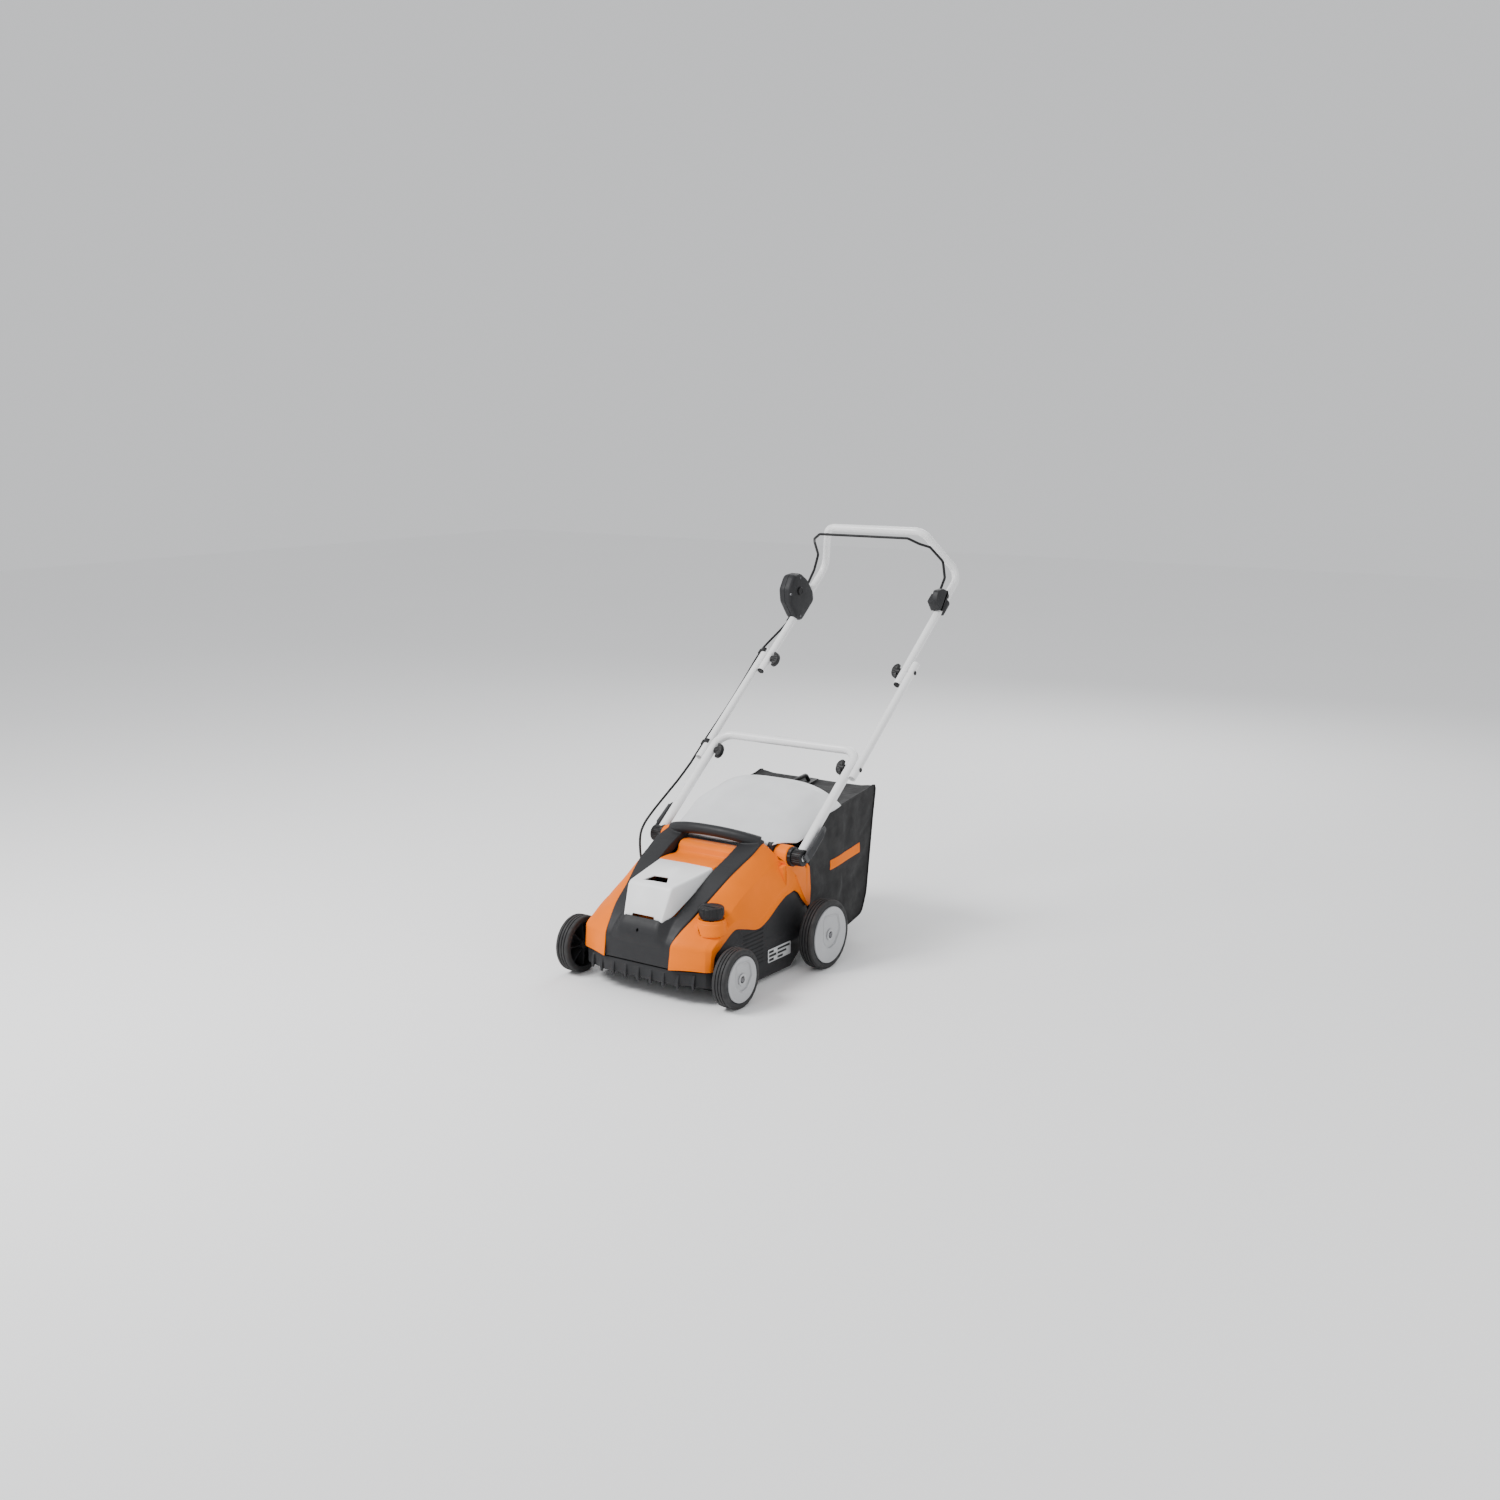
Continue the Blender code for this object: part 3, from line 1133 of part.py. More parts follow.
def cable_mid():
    route = [leg(CABLE_X, 0.2604), leg(CABLE_X, 0.3000)]
    for k in range(11):
        route.append(leg(CABLE_X, 0.3560 + 0.3160 * k / 10, -0.0045 * math.sin(math.pi * k / 10)))
    return tube(route + [leg(CABLE_X, 0.6900)], CABLE_R, 2)


def cable_upper():
    points = [leg(CABLE_X, 0.7160), leg(-0.2640, 0.7500, -0.0020)]
    points += [leg(-0.2520, 0.8000, -0.0035), leg(-0.2440, 0.8340, -0.0030)]
    route = [leg(CABLE_X, 0.6904)] + smooth_route(points, 10) + [leg(-0.2437, 0.8500, -0.0030)]
    return tube(route, CABLE_R, 2)


# ---------------------------------------------------------------- assembly
def mirrored_pair(solid, name, material, pivot):
    x, y, z = pivot
    left = mirrored(solid)
    place(solid, name + "_right", material, pivot)
    place(left, name + "_left", material, (-x, y, z))


def build_chassis():
    place(deck_housing(), "deck_housing", "dark_plastic")
    place(right_panel(), "side_panel_right", "orange_plastic")
    place(left_panel(), "side_panel_left", "orange_plastic")
    place(centre_cover(), "centre_cover", "dark_plastic")
    place(battery_tray(), "battery_tray", "orange_plastic")
    place(battery_cover(), "battery_cover", "grey_plastic", (0, COVER_HINGE_Y, COVER_HINGE_Z))
    place(battery_pack(), "battery_pack", "black_plastic", (0, -0.024, 0.21))
    place(rating_plate(), "rating_plate", "label_foil")


def build_drive():
    axis = (0, DRUM_Y, DRUM_Z)
    place(tine_drum(), "tine_drum", "dark_steel", axis)
    place(drum_shaft(), "drum_shaft", "bare_steel", axis)
    place(bearing(-0.1808, -0.1765), "bearing_left", "bare_steel", axis)
    place(bearing(0.1765, 0.1845), "bearing_right", "bare_steel", axis)
    place(motor_housing(), "motor_housing", "dark_steel", (0, MOTOR_Y, MOTOR_Z))
    place(motor_shaft(), "motor_shaft", "bare_steel", (0, MOTOR_Y, MOTOR_Z))
    place(drive_belt(), "drive_belt", "black_plastic")
    place(belt_cover(), "belt_cover", "dark_plastic")


def build_wheels():
    place(front_axle(), "front_axle", "dark_steel", (0, SWING_Y, SWING_Z))
    place(rear_axle(), "rear_axle", "dark_steel", (0, REAR_WHEEL_Y, REAR_WHEEL_R))
    for end, y, radius, disc in (("front", FRONT_WHEEL_Y, FRONT_WHEEL_R, FRONT_DISC_X),
                                 ("rear", REAR_WHEEL_Y, REAR_WHEEL_R, REAR_DISC_X)):
        hub = (disc - 0.02, y, radius)
        mirrored_pair(tyre(y, radius, disc), f"tyre_{end}", "tyre_rubber", hub)
        mirrored_pair(rim(y, radius, disc), f"rim_{end}", "dark_plastic", hub)
        mirrored_pair(wheel_cap(y, radius, disc), f"wheel_cap_{end}", "grey_plastic", hub)
    place(depth_knob(), "depth_knob", "black_plastic", (KNOB_X, KNOB_Y, 0.21))


def build_catcher():
    place(rear_flap(), "rear_flap", "grey_plastic", (0, FLAP_Y, FLAP_Z))
    place(catcher_frame(), "catcher_frame", "black_plastic")
    place(catcher_bag(), "catcher_bag", "bag_fabric")
    place(catcher_grip(), "catcher_grip", "black_plastic")


def build_handle():
    place(lower_handle(), "lower_handle", "handle_paint", PIVOT)
    place(upper_handle(), "upper_handle", "handle_paint", UPPER_BOLT)
    for side, word in ((1, "right"), (-1, "left")):
        place(mid_tube(side), f"mid_tube_{word}", "handle_paint", LOWER_BOLT)
        place(pivot_disc(side), f"pivot_disc_{word}", "black_plastic")
        place(pivot_bolt(side), f"pivot_bolt_{word}", "bare_steel", PIVOT)
        place(clamp_lever(side), f"clamp_lever_{word}", "black_plastic", leg(side * 0.2478, PIVOT_L))
        lower = clamp_knob(side, LOWER_BOLT_L, LOWER_X - LOWER_R, MID_X + TUBE_R)
        place(lower, f"knob_lower_{word}", "black_plastic", LOWER_BOLT)
        upper = clamp_knob(side, UPPER_BOLT_L, UPPER_X - TUBE_R, MID_X + TUBE_R)
        place(upper, f"knob_upper_{word}", "black_plastic", UPPER_BOLT)


def build_controls():
    place(switch_half(True), "switch_housing_outer", "dark_plastic")
    place(switch_half(False), "switch_housing_inner", "dark_plastic")
    place(lock_button(), "lock_button", "black_plastic", leg(-0.2070, 0.9030, 0.0640))
    place(switch_bail(), "switch_bail", "black_plastic", BAIL_AXIS)
    place(bail_bracket(), "bail_bracket", "dark_plastic")
    place(cable_clip(0.3400), "cable_clip_lower", "black_plastic")
    place(cable_clip(0.7050), "cable_clip_upper", "black_plastic")
    place(cable_lower(), "cable_lower", "cable_rubber")
    place(cable_mid(), "cable_mid", "cable_rubber")
    place(cable_upper(), "cable_upper", "cable_rubber")


clear_scene()
parts = bpy.data.collections.new(COLLECTION)
bpy.context.scene.collection.children.link(parts)
materials = {name: make_material(name) for name in PALETTE}
build_chassis()
build_drive()
build_wheels()
build_catcher()
build_handle()
build_controls()
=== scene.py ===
"""The looks of the cordless lawn dethatcher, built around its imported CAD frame.

Lengths are metres in the row frame: +Z up, the front faces -Y, +X is the side with the depth knob.
The design's own Y starts 77 mm behind the front axle, so at() and leg() add Y_SHIFT to it.
"""

import json
import math

import bmesh
import bpy
import numpy as np
from mathutils import Matrix, Vector, noise
from mathutils.bvhtree import BVHTree

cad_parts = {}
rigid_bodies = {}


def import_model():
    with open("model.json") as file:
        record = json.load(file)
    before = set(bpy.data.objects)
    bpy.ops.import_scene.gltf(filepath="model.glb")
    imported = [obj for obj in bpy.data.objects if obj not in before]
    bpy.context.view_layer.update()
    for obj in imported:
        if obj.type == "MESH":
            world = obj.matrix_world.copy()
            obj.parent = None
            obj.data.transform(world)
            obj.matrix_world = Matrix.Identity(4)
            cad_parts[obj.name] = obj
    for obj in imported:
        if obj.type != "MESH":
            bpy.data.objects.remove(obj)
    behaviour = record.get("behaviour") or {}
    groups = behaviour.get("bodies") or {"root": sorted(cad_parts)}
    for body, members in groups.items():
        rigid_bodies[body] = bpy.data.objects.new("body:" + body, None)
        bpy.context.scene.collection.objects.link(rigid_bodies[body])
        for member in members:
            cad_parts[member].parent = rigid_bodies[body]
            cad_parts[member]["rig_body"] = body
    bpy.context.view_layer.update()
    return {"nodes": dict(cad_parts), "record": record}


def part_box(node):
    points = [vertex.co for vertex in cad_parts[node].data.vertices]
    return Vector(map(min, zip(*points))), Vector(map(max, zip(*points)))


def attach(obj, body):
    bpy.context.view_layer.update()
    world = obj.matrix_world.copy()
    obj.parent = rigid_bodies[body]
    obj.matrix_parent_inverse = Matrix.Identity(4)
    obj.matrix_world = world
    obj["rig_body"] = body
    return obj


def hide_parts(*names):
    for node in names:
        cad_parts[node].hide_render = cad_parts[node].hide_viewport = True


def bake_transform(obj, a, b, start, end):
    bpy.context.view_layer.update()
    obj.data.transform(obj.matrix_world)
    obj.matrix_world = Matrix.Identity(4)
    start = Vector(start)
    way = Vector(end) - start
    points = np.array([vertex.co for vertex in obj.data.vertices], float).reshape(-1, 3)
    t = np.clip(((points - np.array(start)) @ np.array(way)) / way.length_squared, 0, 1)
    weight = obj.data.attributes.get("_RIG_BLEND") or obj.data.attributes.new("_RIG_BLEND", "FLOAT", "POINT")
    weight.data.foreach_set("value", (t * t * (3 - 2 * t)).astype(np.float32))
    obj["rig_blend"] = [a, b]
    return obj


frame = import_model()
NODES = frame["nodes"]

# ---------------------------------------------------------------- driving dimensions
SIDES = (("right", 1), ("left", -1))
REAR_WHEEL_Y = 0.312
REAR_WHEEL_R = 0.092
FRONT_WHEEL_Y = -0.077
FRONT_WHEEL_R = 0.0753
REAR_DISC_X = 0.280
FRONT_DISC_X = 0.2724
TYRE_WIDTH = 0.0405
WHEEL_STEPS = 96

KNOB_X = 0.163
KNOB_Y = -0.057
BAND_X = 0.203
SHELL = 0.003

HANDLE_ANGLE = math.radians(38.51)
LEG_Y = 0.2298
LEG_Z = 0.3043
PIVOT_L = 0.0085
LOWER_X = 0.2281
LOWER_R = 0.0125
LOWER_BAR_L = 0.382
MID_X = 0.252
UPPER_X = 0.2290
TUBE_R = 0.011
TUBE_WALL = 0.0015
LOWER_BOLT_L = 0.3185
UPPER_BOLT_L = 0.681
CABLE_X = -0.2690
CABLE_JOINS_L = (0.2602, 0.6902)
CABLE_R = 0.0033
BAIL_R = 0.0038
BAIL_AXIS = (0.9652, 0.033)
BORE_CENTRE_R = 0.0004

Y_SHIFT = (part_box("tyre_rear_right")[0].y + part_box("tyre_rear_right")[1].y) / 2 - REAR_WHEEL_Y

ORANGE = (0.90, 0.180, 0.0)
DARK = (0.0185, 0.0188, 0.0205)
BLACK = (0.010, 0.010, 0.011)
PALE = (0.86, 0.865, 0.87)
CAP_GREY = (0.40, 0.405, 0.415)
LEVER_GREY = (0.050, 0.051, 0.054)


def at(x, y, z):
    """A point of the design in the row frame."""
    return Vector((x, y + Y_SHIFT, z))


def leg(x, along, off=0.0):
    """A point by its distance up the handle's leg line and its distance off it."""
    c = math.cos(HANDLE_ANGLE)
    s = math.sin(HANDLE_ANGLE)
    return at(x, LEG_Y + along * c - off * s, LEG_Z + along * s + off * c)


def across(x, point):
    """A point at the same depth and height, at another x."""
    return Vector((x, point.y, point.z))


PIVOT = leg(0, PIVOT_L)


# ---------------------------------------------------------------- mesh helpers
def link(data, name):
    obj = bpy.data.objects.new(name, data)
    bpy.context.scene.collection.objects.link(obj)
    return obj


def from_lists(points, faces, name="piece"):
    mesh = bpy.data.meshes.new(name)
    mesh.from_pydata([tuple(p) for p in points], [], faces)
    obj = link(mesh, name)
    shape = bmesh.new()
    shape.from_mesh(mesh)
    bmesh.ops.recalc_face_normals(shape, faces=shape.faces)
    shape.to_mesh(mesh)
    shape.free()
    return obj


def settled(obj):
    """The same object with its modifiers worked into its mesh."""
    bpy.context.view_layer.update()
    graph = bpy.context.evaluated_depsgraph_get()
    mesh = bpy.data.meshes.new_from_object(obj.evaluated_get(graph))
    obj.modifiers.clear()
    obj.data = mesh
    return obj


def modified(obj, kind, **values):
    modifier = obj.modifiers.new(kind.title(), kind)
    for name, value in values.items():
        setattr(modifier, name, value)
    return settled(obj)


def boolean(obj, others, operation):
    for other in others:
        modifier = obj.modifiers.new("Boolean", "BOOLEAN")
        modifier.operation = operation
        modifier.object = other
    settled(obj)
    for other in others:
        bpy.data.objects.remove(other, do_unlink=True)
    return obj


def join(obj, *others):
    return boolean(obj, others, "UNION")


def cut(obj, *others):
    return boolean(obj, others, "DIFFERENCE")


def keep(obj, *others):
    return boolean(obj, others, "INTERSECT")


def shaded(obj, angle=32):
    obj.data.shade_smooth()
    obj.data.set_sharp_from_angle(angle=math.radians(angle))
    return obj


def mirrored(obj, name):
    """A copy reflected to the other side of the machine."""
    mesh = obj.data.copy()
    mesh.transform(Matrix.Diagonal((-1, 1, 1, 1)))
    mesh.flip_normals()
    return link(mesh, name)


def curve_through(points, per):
    """Points on a Catmull-Rom curve through the given ones, `per` to each stretch."""
    points = [np.array(p, float) for p in points]
    ends = [2 * points[0] - points[1]] + points + [2 * points[-1] - points[-2]]
    route = []
    for i in range(len(points) - 1):
        a, b, c, d = ends[i : i + 4]
        for k in range(per):
            t = k / per
            curve = 2 * b + (c - a) * t + (2 * a - 5 * b + 4 * c - d) * t * t
            route.append(0.5 * (curve + (3 * b - a - 3 * c + d) * t**3))
    return route + [points[-1]]


def filleted(points, radius, steps=5):
    """The open route with an arc at each inner corner, no larger than its shorter side allows."""
    route = [Vector(points[0])]
    for before, corner, after in zip(points, points[1:], points[2:]):
        corner = Vector(corner)
        back = Vector(before) - corner
        ahead = Vector(after) - corner
        half = back.angle(ahead) / 2
        reach = min(radius / math.tan(half), 0.48 * back.length, 0.48 * ahead.length)
        start = corner + back.normalized() * reach
        end = corner + ahead.normalized() * reach
        for k in range(steps + 1):
            t = k / steps
            route.append(start * (1 - t) ** 2 + corner * 2 * t * (1 - t) + end * t * t)
    route.append(Vector(points[-1]))
    return route


def rounded_loop(corners, radius, steps):
    """The closed outline through flat corners with its corners rounded, from the middle of its last side."""
    loop = [Vector((a, b, 0)) for a, b in corners]
    middle = (loop[0] + loop[-1]) / 2
    return filleted([middle] + loop + [middle], radius, steps)[:-1]


def grid(rows, closed=False, caps=False):
    """A skin through rows of equal length; closed joins each row's ends, caps fill the first and last."""
    size = len(rows[0])
    points = [p for row in rows for p in row]
    faces = []
    for r in range(len(rows) - 1):
        for i in range(size if closed else size - 1):
            j = (i + 1) % size
            faces.append((r * size + i, r * size + j, (r + 1) * size + j, (r + 1) * size + i))
    if caps:
        faces.append(tuple(range(size)))
        faces.append(tuple(range(len(points) - size, len(points))))
    return from_lists(points, faces)


def prism(outline, axis, low, high):
    """An outline in the two axes across `axis`, extruded between two stations; Y is the design's own."""
    order = {"x": (2, 0, 1), "y": (0, 2, 1), "z": (0, 1, 2)}[axis]
    rows = []
    for station in (low, high):
        row = []
        for a, b in outline:
            flat = (a, b, station)
            row.append(at(*(flat[i] for i in order)))
        rows.append(row)
    return grid(rows, closed=True, caps=True)


def box(low, high):
    corners = [(low[0], low[1]), (high[0], low[1]), (high[0], high[1]), (low[0], high[1])]
    return prism(corners, "z", low[2], high[2])


def turning(steps):
    """The cosine, sine and angle of each step of a whole turn."""
    angles = [math.tau * k / steps for k in range(steps)]
    return [(math.cos(angle), math.sin(angle), angle) for angle in angles]


def ring(place, side, up, radius, sides):
    """Points round a circle whose plane holds the directions `side` and `up`."""
    return [place + (side * c + up * s) * radius for c, s, _ in turning(sides)]


def swept(route, radii, sides=24):
    """A closed tube along a route whose radius may change from point to point."""
    route = [Vector(p) for p in route]
    radii = radii if isinstance(radii, (list, tuple)) else [radii] * len(route)
    ahead = (route[1] - route[0]).normalized()
    side = ahead.orthogonal().normalized()
    rows = []
    for i, place in enumerate(route):
        before = route[max(i - 1, 0)]
        after = route[min(i + 1, len(route) - 1)]
        heading = after - before
        if heading.length > 1e-9:
            turn = ahead.rotation_difference(heading.normalized())
            side = (turn @ side).normalized()
            ahead = heading.normalized()
        rows.append(ring(place, side, ahead.cross(side), radii[i], sides))
    return grid(rows, closed=True, caps=True)


def lip_stations(end, outward, radius, wall, depth):
    """Places and radii from the middle of the bore's floor, out over the rounded lip, to the outside."""
    lip = wall * 0.5
    bore = radius - wall
    floor = end - outward * depth
    edge = end - outward * lip
    inside = [(floor, BORE_CENTRE_R), (floor, bore), (edge, bore)]
    return inside + [(end, radius - wall * 0.6), (end, radius - lip), (edge, radius)]


def pipe(route, radius, wall, sides=28, depth=0.012):
    """A tube whose ends are rounded lips round a bore `depth` deep."""
    route = [Vector(p) for p in route]
    first = (route[0] - route[1]).normalized()
    last = (route[-1] - route[-2]).normalized()
    stations = [(p, r, -first) for p, r in lip_stations(route[0], first, radius, wall, depth)]
    for i in range(1, len(route) - 1):
        stations.append((route[i], radius, (route[i + 1] - route[i - 1]).normalized()))
    stations += [(p, r, last) for p, r in reversed(lip_stations(route[-1], last, radius, wall, depth))]
    ahead = -first
    side = ahead.orthogonal().normalized()
    rows = []
    for place, size, heading in stations:
        side = (ahead.rotation_difference(heading) @ side).normalized()
        ahead = heading
        rows.append(ring(place, side, ahead.cross(side), size, sides))
    return grid(rows, closed=True, caps=True)


def lathe(profile, x_sign, y, z):
    """A closed loop of (x, radius) turned about the X axis through y, z."""
    rows = []
    for c, s, _ in turning(WHEEL_STEPS):
        rows.append([at(x_sign * x, y + radius * c, z + radius * s) for x, radius in profile])
    return turned(rows)


def turned(rows):
    """Closed rows joined all round, the last one to the first."""
    size = len(rows[0])
    points = [p for row in rows for p in row]
    faces = []
    for r in range(len(rows)):
        s = (r + 1) % len(rows)
        for i in range(size):
            j = (i + 1) % size
            faces.append((r * size + i, r * size + j, s * size + j, s * size + i))
    return from_lists(points, faces)


def upright(profile, x, y, steps=64, wave=None):
    """A closed loop of (radius, z) turned about the vertical through x, y."""
    rows = []
    for c, s, angle in turning(steps):
        row = []
        for radius, z in profile:
            grown = radius + (wave(radius, z, angle) if wave else 0.0)
            row.append(at(x + grown * c, y + grown * s, z))
        rows.append(row)
    return turned(rows)


def rod(start, end, radius, sides=28, round_off=0.0006):
    """A straight bar between row-frame points with softened ends."""
    start = Vector(start)
    end = Vector(end)
    way = (end - start).normalized() * round_off
    small = radius - round_off
    return swept([start, start + way, end - way, end], [small, radius, radius, small], sides)


def cross_rod(x_start, x_end, point, radius, sides=28, round_off=0.0006):
    """A rod along X at a point's depth and height."""
    return rod(across(x_start, point), across(x_end, point), radius, sides, round_off)


# ---------------------------------------------------------------- rounding the edges of a CAD shape
WELD_GAP = 1e-5
SAME_PLANE = math.radians(0.6)
SHORTEST_EDGE = 0.0004
ROOM_SHARE = 0.42


def round_edges(obj, width, segments=2, angle=26, spared=None):
    """Bevels sharp edges by up to `width`, and by less where a face beside the edge is narrow."""
    mesh = obj.data
    shape = bmesh.new()
    shape.from_mesh(mesh)
    bmesh.ops.remove_doubles(shape, verts=shape.verts, dist=WELD_GAP)
    bmesh.ops.dissolve_limit(shape, angle_limit=SAME_PLANE, verts=shape.verts, edges=shape.edges)
    layers = shape.edges.layers.float
    weights = layers.get("bevel_weight_edge") or layers.new("bevel_weight_edge")
    sharp = math.radians(angle)
    for edge in shape.edges:
        flat = len(edge.link_faces) != 2 or edge.calc_face_angle(0.0) < sharp
        middle = (edge.verts[0].co + edge.verts[1].co) / 2
        if flat or edge.calc_length() < SHORTEST_EDGE or (spared and spared(middle)):
            edge[weights] = 0.0
            continue
        room = width
        along = (edge.verts[1].co - edge.verts[0].co).normalized()
        for loop in edge.link_loops:
            for other in (loop.link_loop_prev.edge, loop.link_loop_next.edge):
                way = (other.verts[1].co - other.verts[0].co).normalized()
                turn = along.cross(way).length
                if turn > 0.5:
                    room = min(room, ROOM_SHARE * other.calc_length() * turn)
        edge[weights] = room / width
    shape.to_mesh(mesh)
    shape.free()
    return modified(obj, "BEVEL", width=width, segments=segments, limit_method="WEIGHT",
                    use_clamp_overlap=False, miter_outer="MITER_ARC", harden_normals=False)


def thickened(skin, thickness, face, outward, even=False):
    """An open skin made solid on its inner side; the face by that number tells which way it looks."""
    if skin.data.polygons[face].normal.dot(Vector(outward)) < 0:
        skin.data.flip_normals()
    return modified(skin, "SOLIDIFY", thickness=thickness, offset=-1, use_even_offset=even)


def middle_face(skin):
    return len(skin.data.polygons) // 2


# ---------------------------------------------------------------- materials
class Paint:
    """A Principled material whose nodes are added one at a time."""

    def __init__(self, name, roughness, metallic=0.0):
        self.material = bpy.data.materials.new(name)
        self.material.use_nodes = True
        self.tree = self.material.node_tree
        self.shader = self.tree.nodes["Principled BSDF"]
        self.shader.inputs["Roughness"].default_value = roughness
        self.shader.inputs["Metallic"].default_value = metallic
        self.coords = self.tree.nodes.new("ShaderNodeTexCoord").outputs["Object"]

    def node(self, kind, **inputs):
        made = self.tree.nodes.new(kind)
        for name, value in inputs.items():
            socket = made.inputs[name.replace("_", " ")]
            if hasattr(value, "is_output"):
                self.tree.links.new(value, socket)
            else:
                socket.default_value = value
        return made

    def cloud(self, scale, detail=3.0):
        return self.node("ShaderNodeTexNoise", Vector=self.coords, Scale=scale, Detail=detail).outputs["Fac"]

    def spread(self, fac, low, high, start=0.3, end=0.7):
        made = self.node("ShaderNodeMapRange", Value=fac)
        for name, value in (("From Min", start), ("From Max", end), ("To Min", low), ("To Max", high)):
            made.inputs[name].default_value = value
        return made.outputs["Result"]

    def ramp(self, fac, low, high, start=0.0, end=1.0):
        made = self.node("ShaderNodeValToRGB", Fac=fac)
        stops = made.color_ramp.elements
        stops[0].position, stops[1].position = start, end
        stops[0].color, stops[1].color = (*low, 1), (*high, 1)
        return made.outputs["Color"]

    def mixed(self, fac, first, second):
        made = self.tree.nodes.new("ShaderNodeMix")
        made.data_type = "RGBA"
        sockets = [s for s in made.inputs if s.type == "RGBA"]
        self.tree.links.new(fac, made.inputs[0])
        for socket, value in zip(sockets, (first, second)):
            if hasattr(value, "is_output"):
                self.tree.links.new(value, socket)
            else:
                socket.default_value = (*value, 1)
        return [s for s in made.outputs if s.type == "RGBA"][0]

    def combined(self, operation, first, second):
        made = self.node("ShaderNodeMath")
        made.operation = operation
        self.tree.links.new(first, made.inputs[0])
        self.tree.links.new(second, made.inputs[1])
        return made.outputs[0]

    def bump(self, height, strength, distance, under=None):
        made = self.node("ShaderNodeBump", Height=height, Strength=strength, Distance=distance)
        if under is not None:
            self.tree.links.new(under, made.inputs["Normal"])
        return made.outputs["Normal"]

    def use(self, name, socket):
        self.tree.links.new(socket, self.shader.inputs[name])

    def worn_edges(self, base, worn, amount=0.5):
        """The colour with its outward edges rubbed towards another one."""
        point = self.node("ShaderNodeNewGeometry").outputs["Pointiness"]
        edge = self.spread(point, 0.0, amount, 0.52, 0.60)
        return self.mixed(edge, base, worn)


def scaled(colour, share):
    return tuple(min(1.0, c * share) for c in colour)


def moulded(name, colour, roughness, grain=0.10, pitch=1500.0, coat=0.0, worn=1.35, shine=0.26):
    """Injection moulded plastic: fine spark-eroded grain, faint flow marks and rubbed edges."""
    paint = Paint(name, roughness)
    tone = paint.ramp(paint.cloud(7.0), scaled(colour, 0.93), scaled(colour, 1.06), 0.35, 0.65)
    lighter = tuple(min(1.0, c * worn + 0.004) for c in colour)
    paint.use("Base Color", paint.worn_edges(tone, lighter, 0.45))
    paint.use("Roughness", paint.spread(paint.cloud(55.0, 4.0), roughness - 0.05, roughness + 0.07))
    flow = paint.bump(paint.cloud(28.0, 2.0), 0.05, 0.002)
    paint.use("Normal", paint.bump(paint.cloud(pitch, 2.0), grain, 0.0004, flow))
    paint.shader.inputs["Specular IOR Level"].default_value = shine
    paint.shader.inputs["Coat Weight"].default_value = coat
    paint.shader.inputs["Coat Roughness"].default_value = 0.25
    return paint.material


def translucent(name, colour):
    """Milky polypropylene sheet: it lets some light through and shows faint flow marks."""
    material = moulded(name, colour, 0.38, grain=0.05, pitch=1700.0, worn=1.04)
    shader = material.node_tree.nodes["Principled BSDF"]
    shader.inputs["Transmission Weight"].default_value = 0.16
    shader.inputs["Subsurface Weight"].default_value = 0.25
    shader.inputs["Subsurface Radius"].default_value = (0.006, 0.006, 0.006)
    return material


def powder_coat(name, colour):
    """Paint baked on steel tube: orange-peel surface and a few dull scuffs."""
    paint = Paint(name, 0.34)
    scuff = paint.spread(paint.cloud(90.0, 6.0), 0.0, 0.35, 0.60, 0.72)
    tone = paint.ramp(paint.cloud(9.0), scaled(colour, 0.95), scaled(colour, 1.04), 0.3, 0.7)
    paint.use("Base Color", paint.mixed(scuff, tone, scaled(colour, 0.80)))
    paint.use("Roughness", paint.spread(paint.cloud(120.0, 4.0), 0.27, 0.44))
    paint.use("Normal", paint.bump(paint.cloud(620.0, 1.0), 0.12, 0.0003))
    paint.shader.inputs["Coat Weight"].default_value = 0.25
    paint.shader.inputs["Coat Roughness"].default_value = 0.18
    return paint.material


def steel(name, colour, roughness, rust=0.0):
    """Turned or rolled steel: drawn streaks, stains and, on rough parts, a film of scale."""
    paint = Paint(name, roughness, 1.0)
    drawn = paint.node("ShaderNodeMapping", Vector=paint.coords, Scale=(90.0, 900.0, 900.0))
    noise_node = paint.node("ShaderNodeTexNoise", Vector=drawn.outputs["Vector"], Scale=1.0, Detail=4.0)
    streak = noise_node.outputs["Fac"]
    tone = paint.ramp(streak, scaled(colour, 0.80), scaled(colour, 1.18), 0.3, 0.7)
    stain = paint.spread(paint.cloud(60.0, 6.0), 0.0, 0.25 + rust, 0.52, 0.72)
    brown = (colour[0] * 0.55, colour[1] * 0.45, colour[2] * 0.38)
    paint.use("Base Color", paint.mixed(stain, tone, brown))
    paint.use("Roughness", paint.spread(streak, roughness - 0.08, roughness + 0.14))
    paint.use("Normal", paint.bump(streak, 0.10, 0.0002))
    return paint.material


def tyre_rubber(name, colour):
    """Solid tyre rubber: mould texture, a dusty bloom in its low places and scrubbed shoulders."""
    paint = Paint(name, 0.72)
    dust = paint.spread(paint.cloud(34.0, 5.0), 0.0, 0.45, 0.48, 0.75)
    tone = paint.mixed(dust, colour, (0.034, 0.032, 0.029))
    paint.use("Base Color", paint.worn_edges(tone, (0.036, 0.036, 0.037), 0.5))
    paint.use("Roughness", paint.spread(paint.cloud(70.0, 4.0), 0.60, 0.84))
    paint.use("Normal", paint.bump(paint.cloud(1100.0, 3.0), 0.22, 0.0005))
    return paint.material


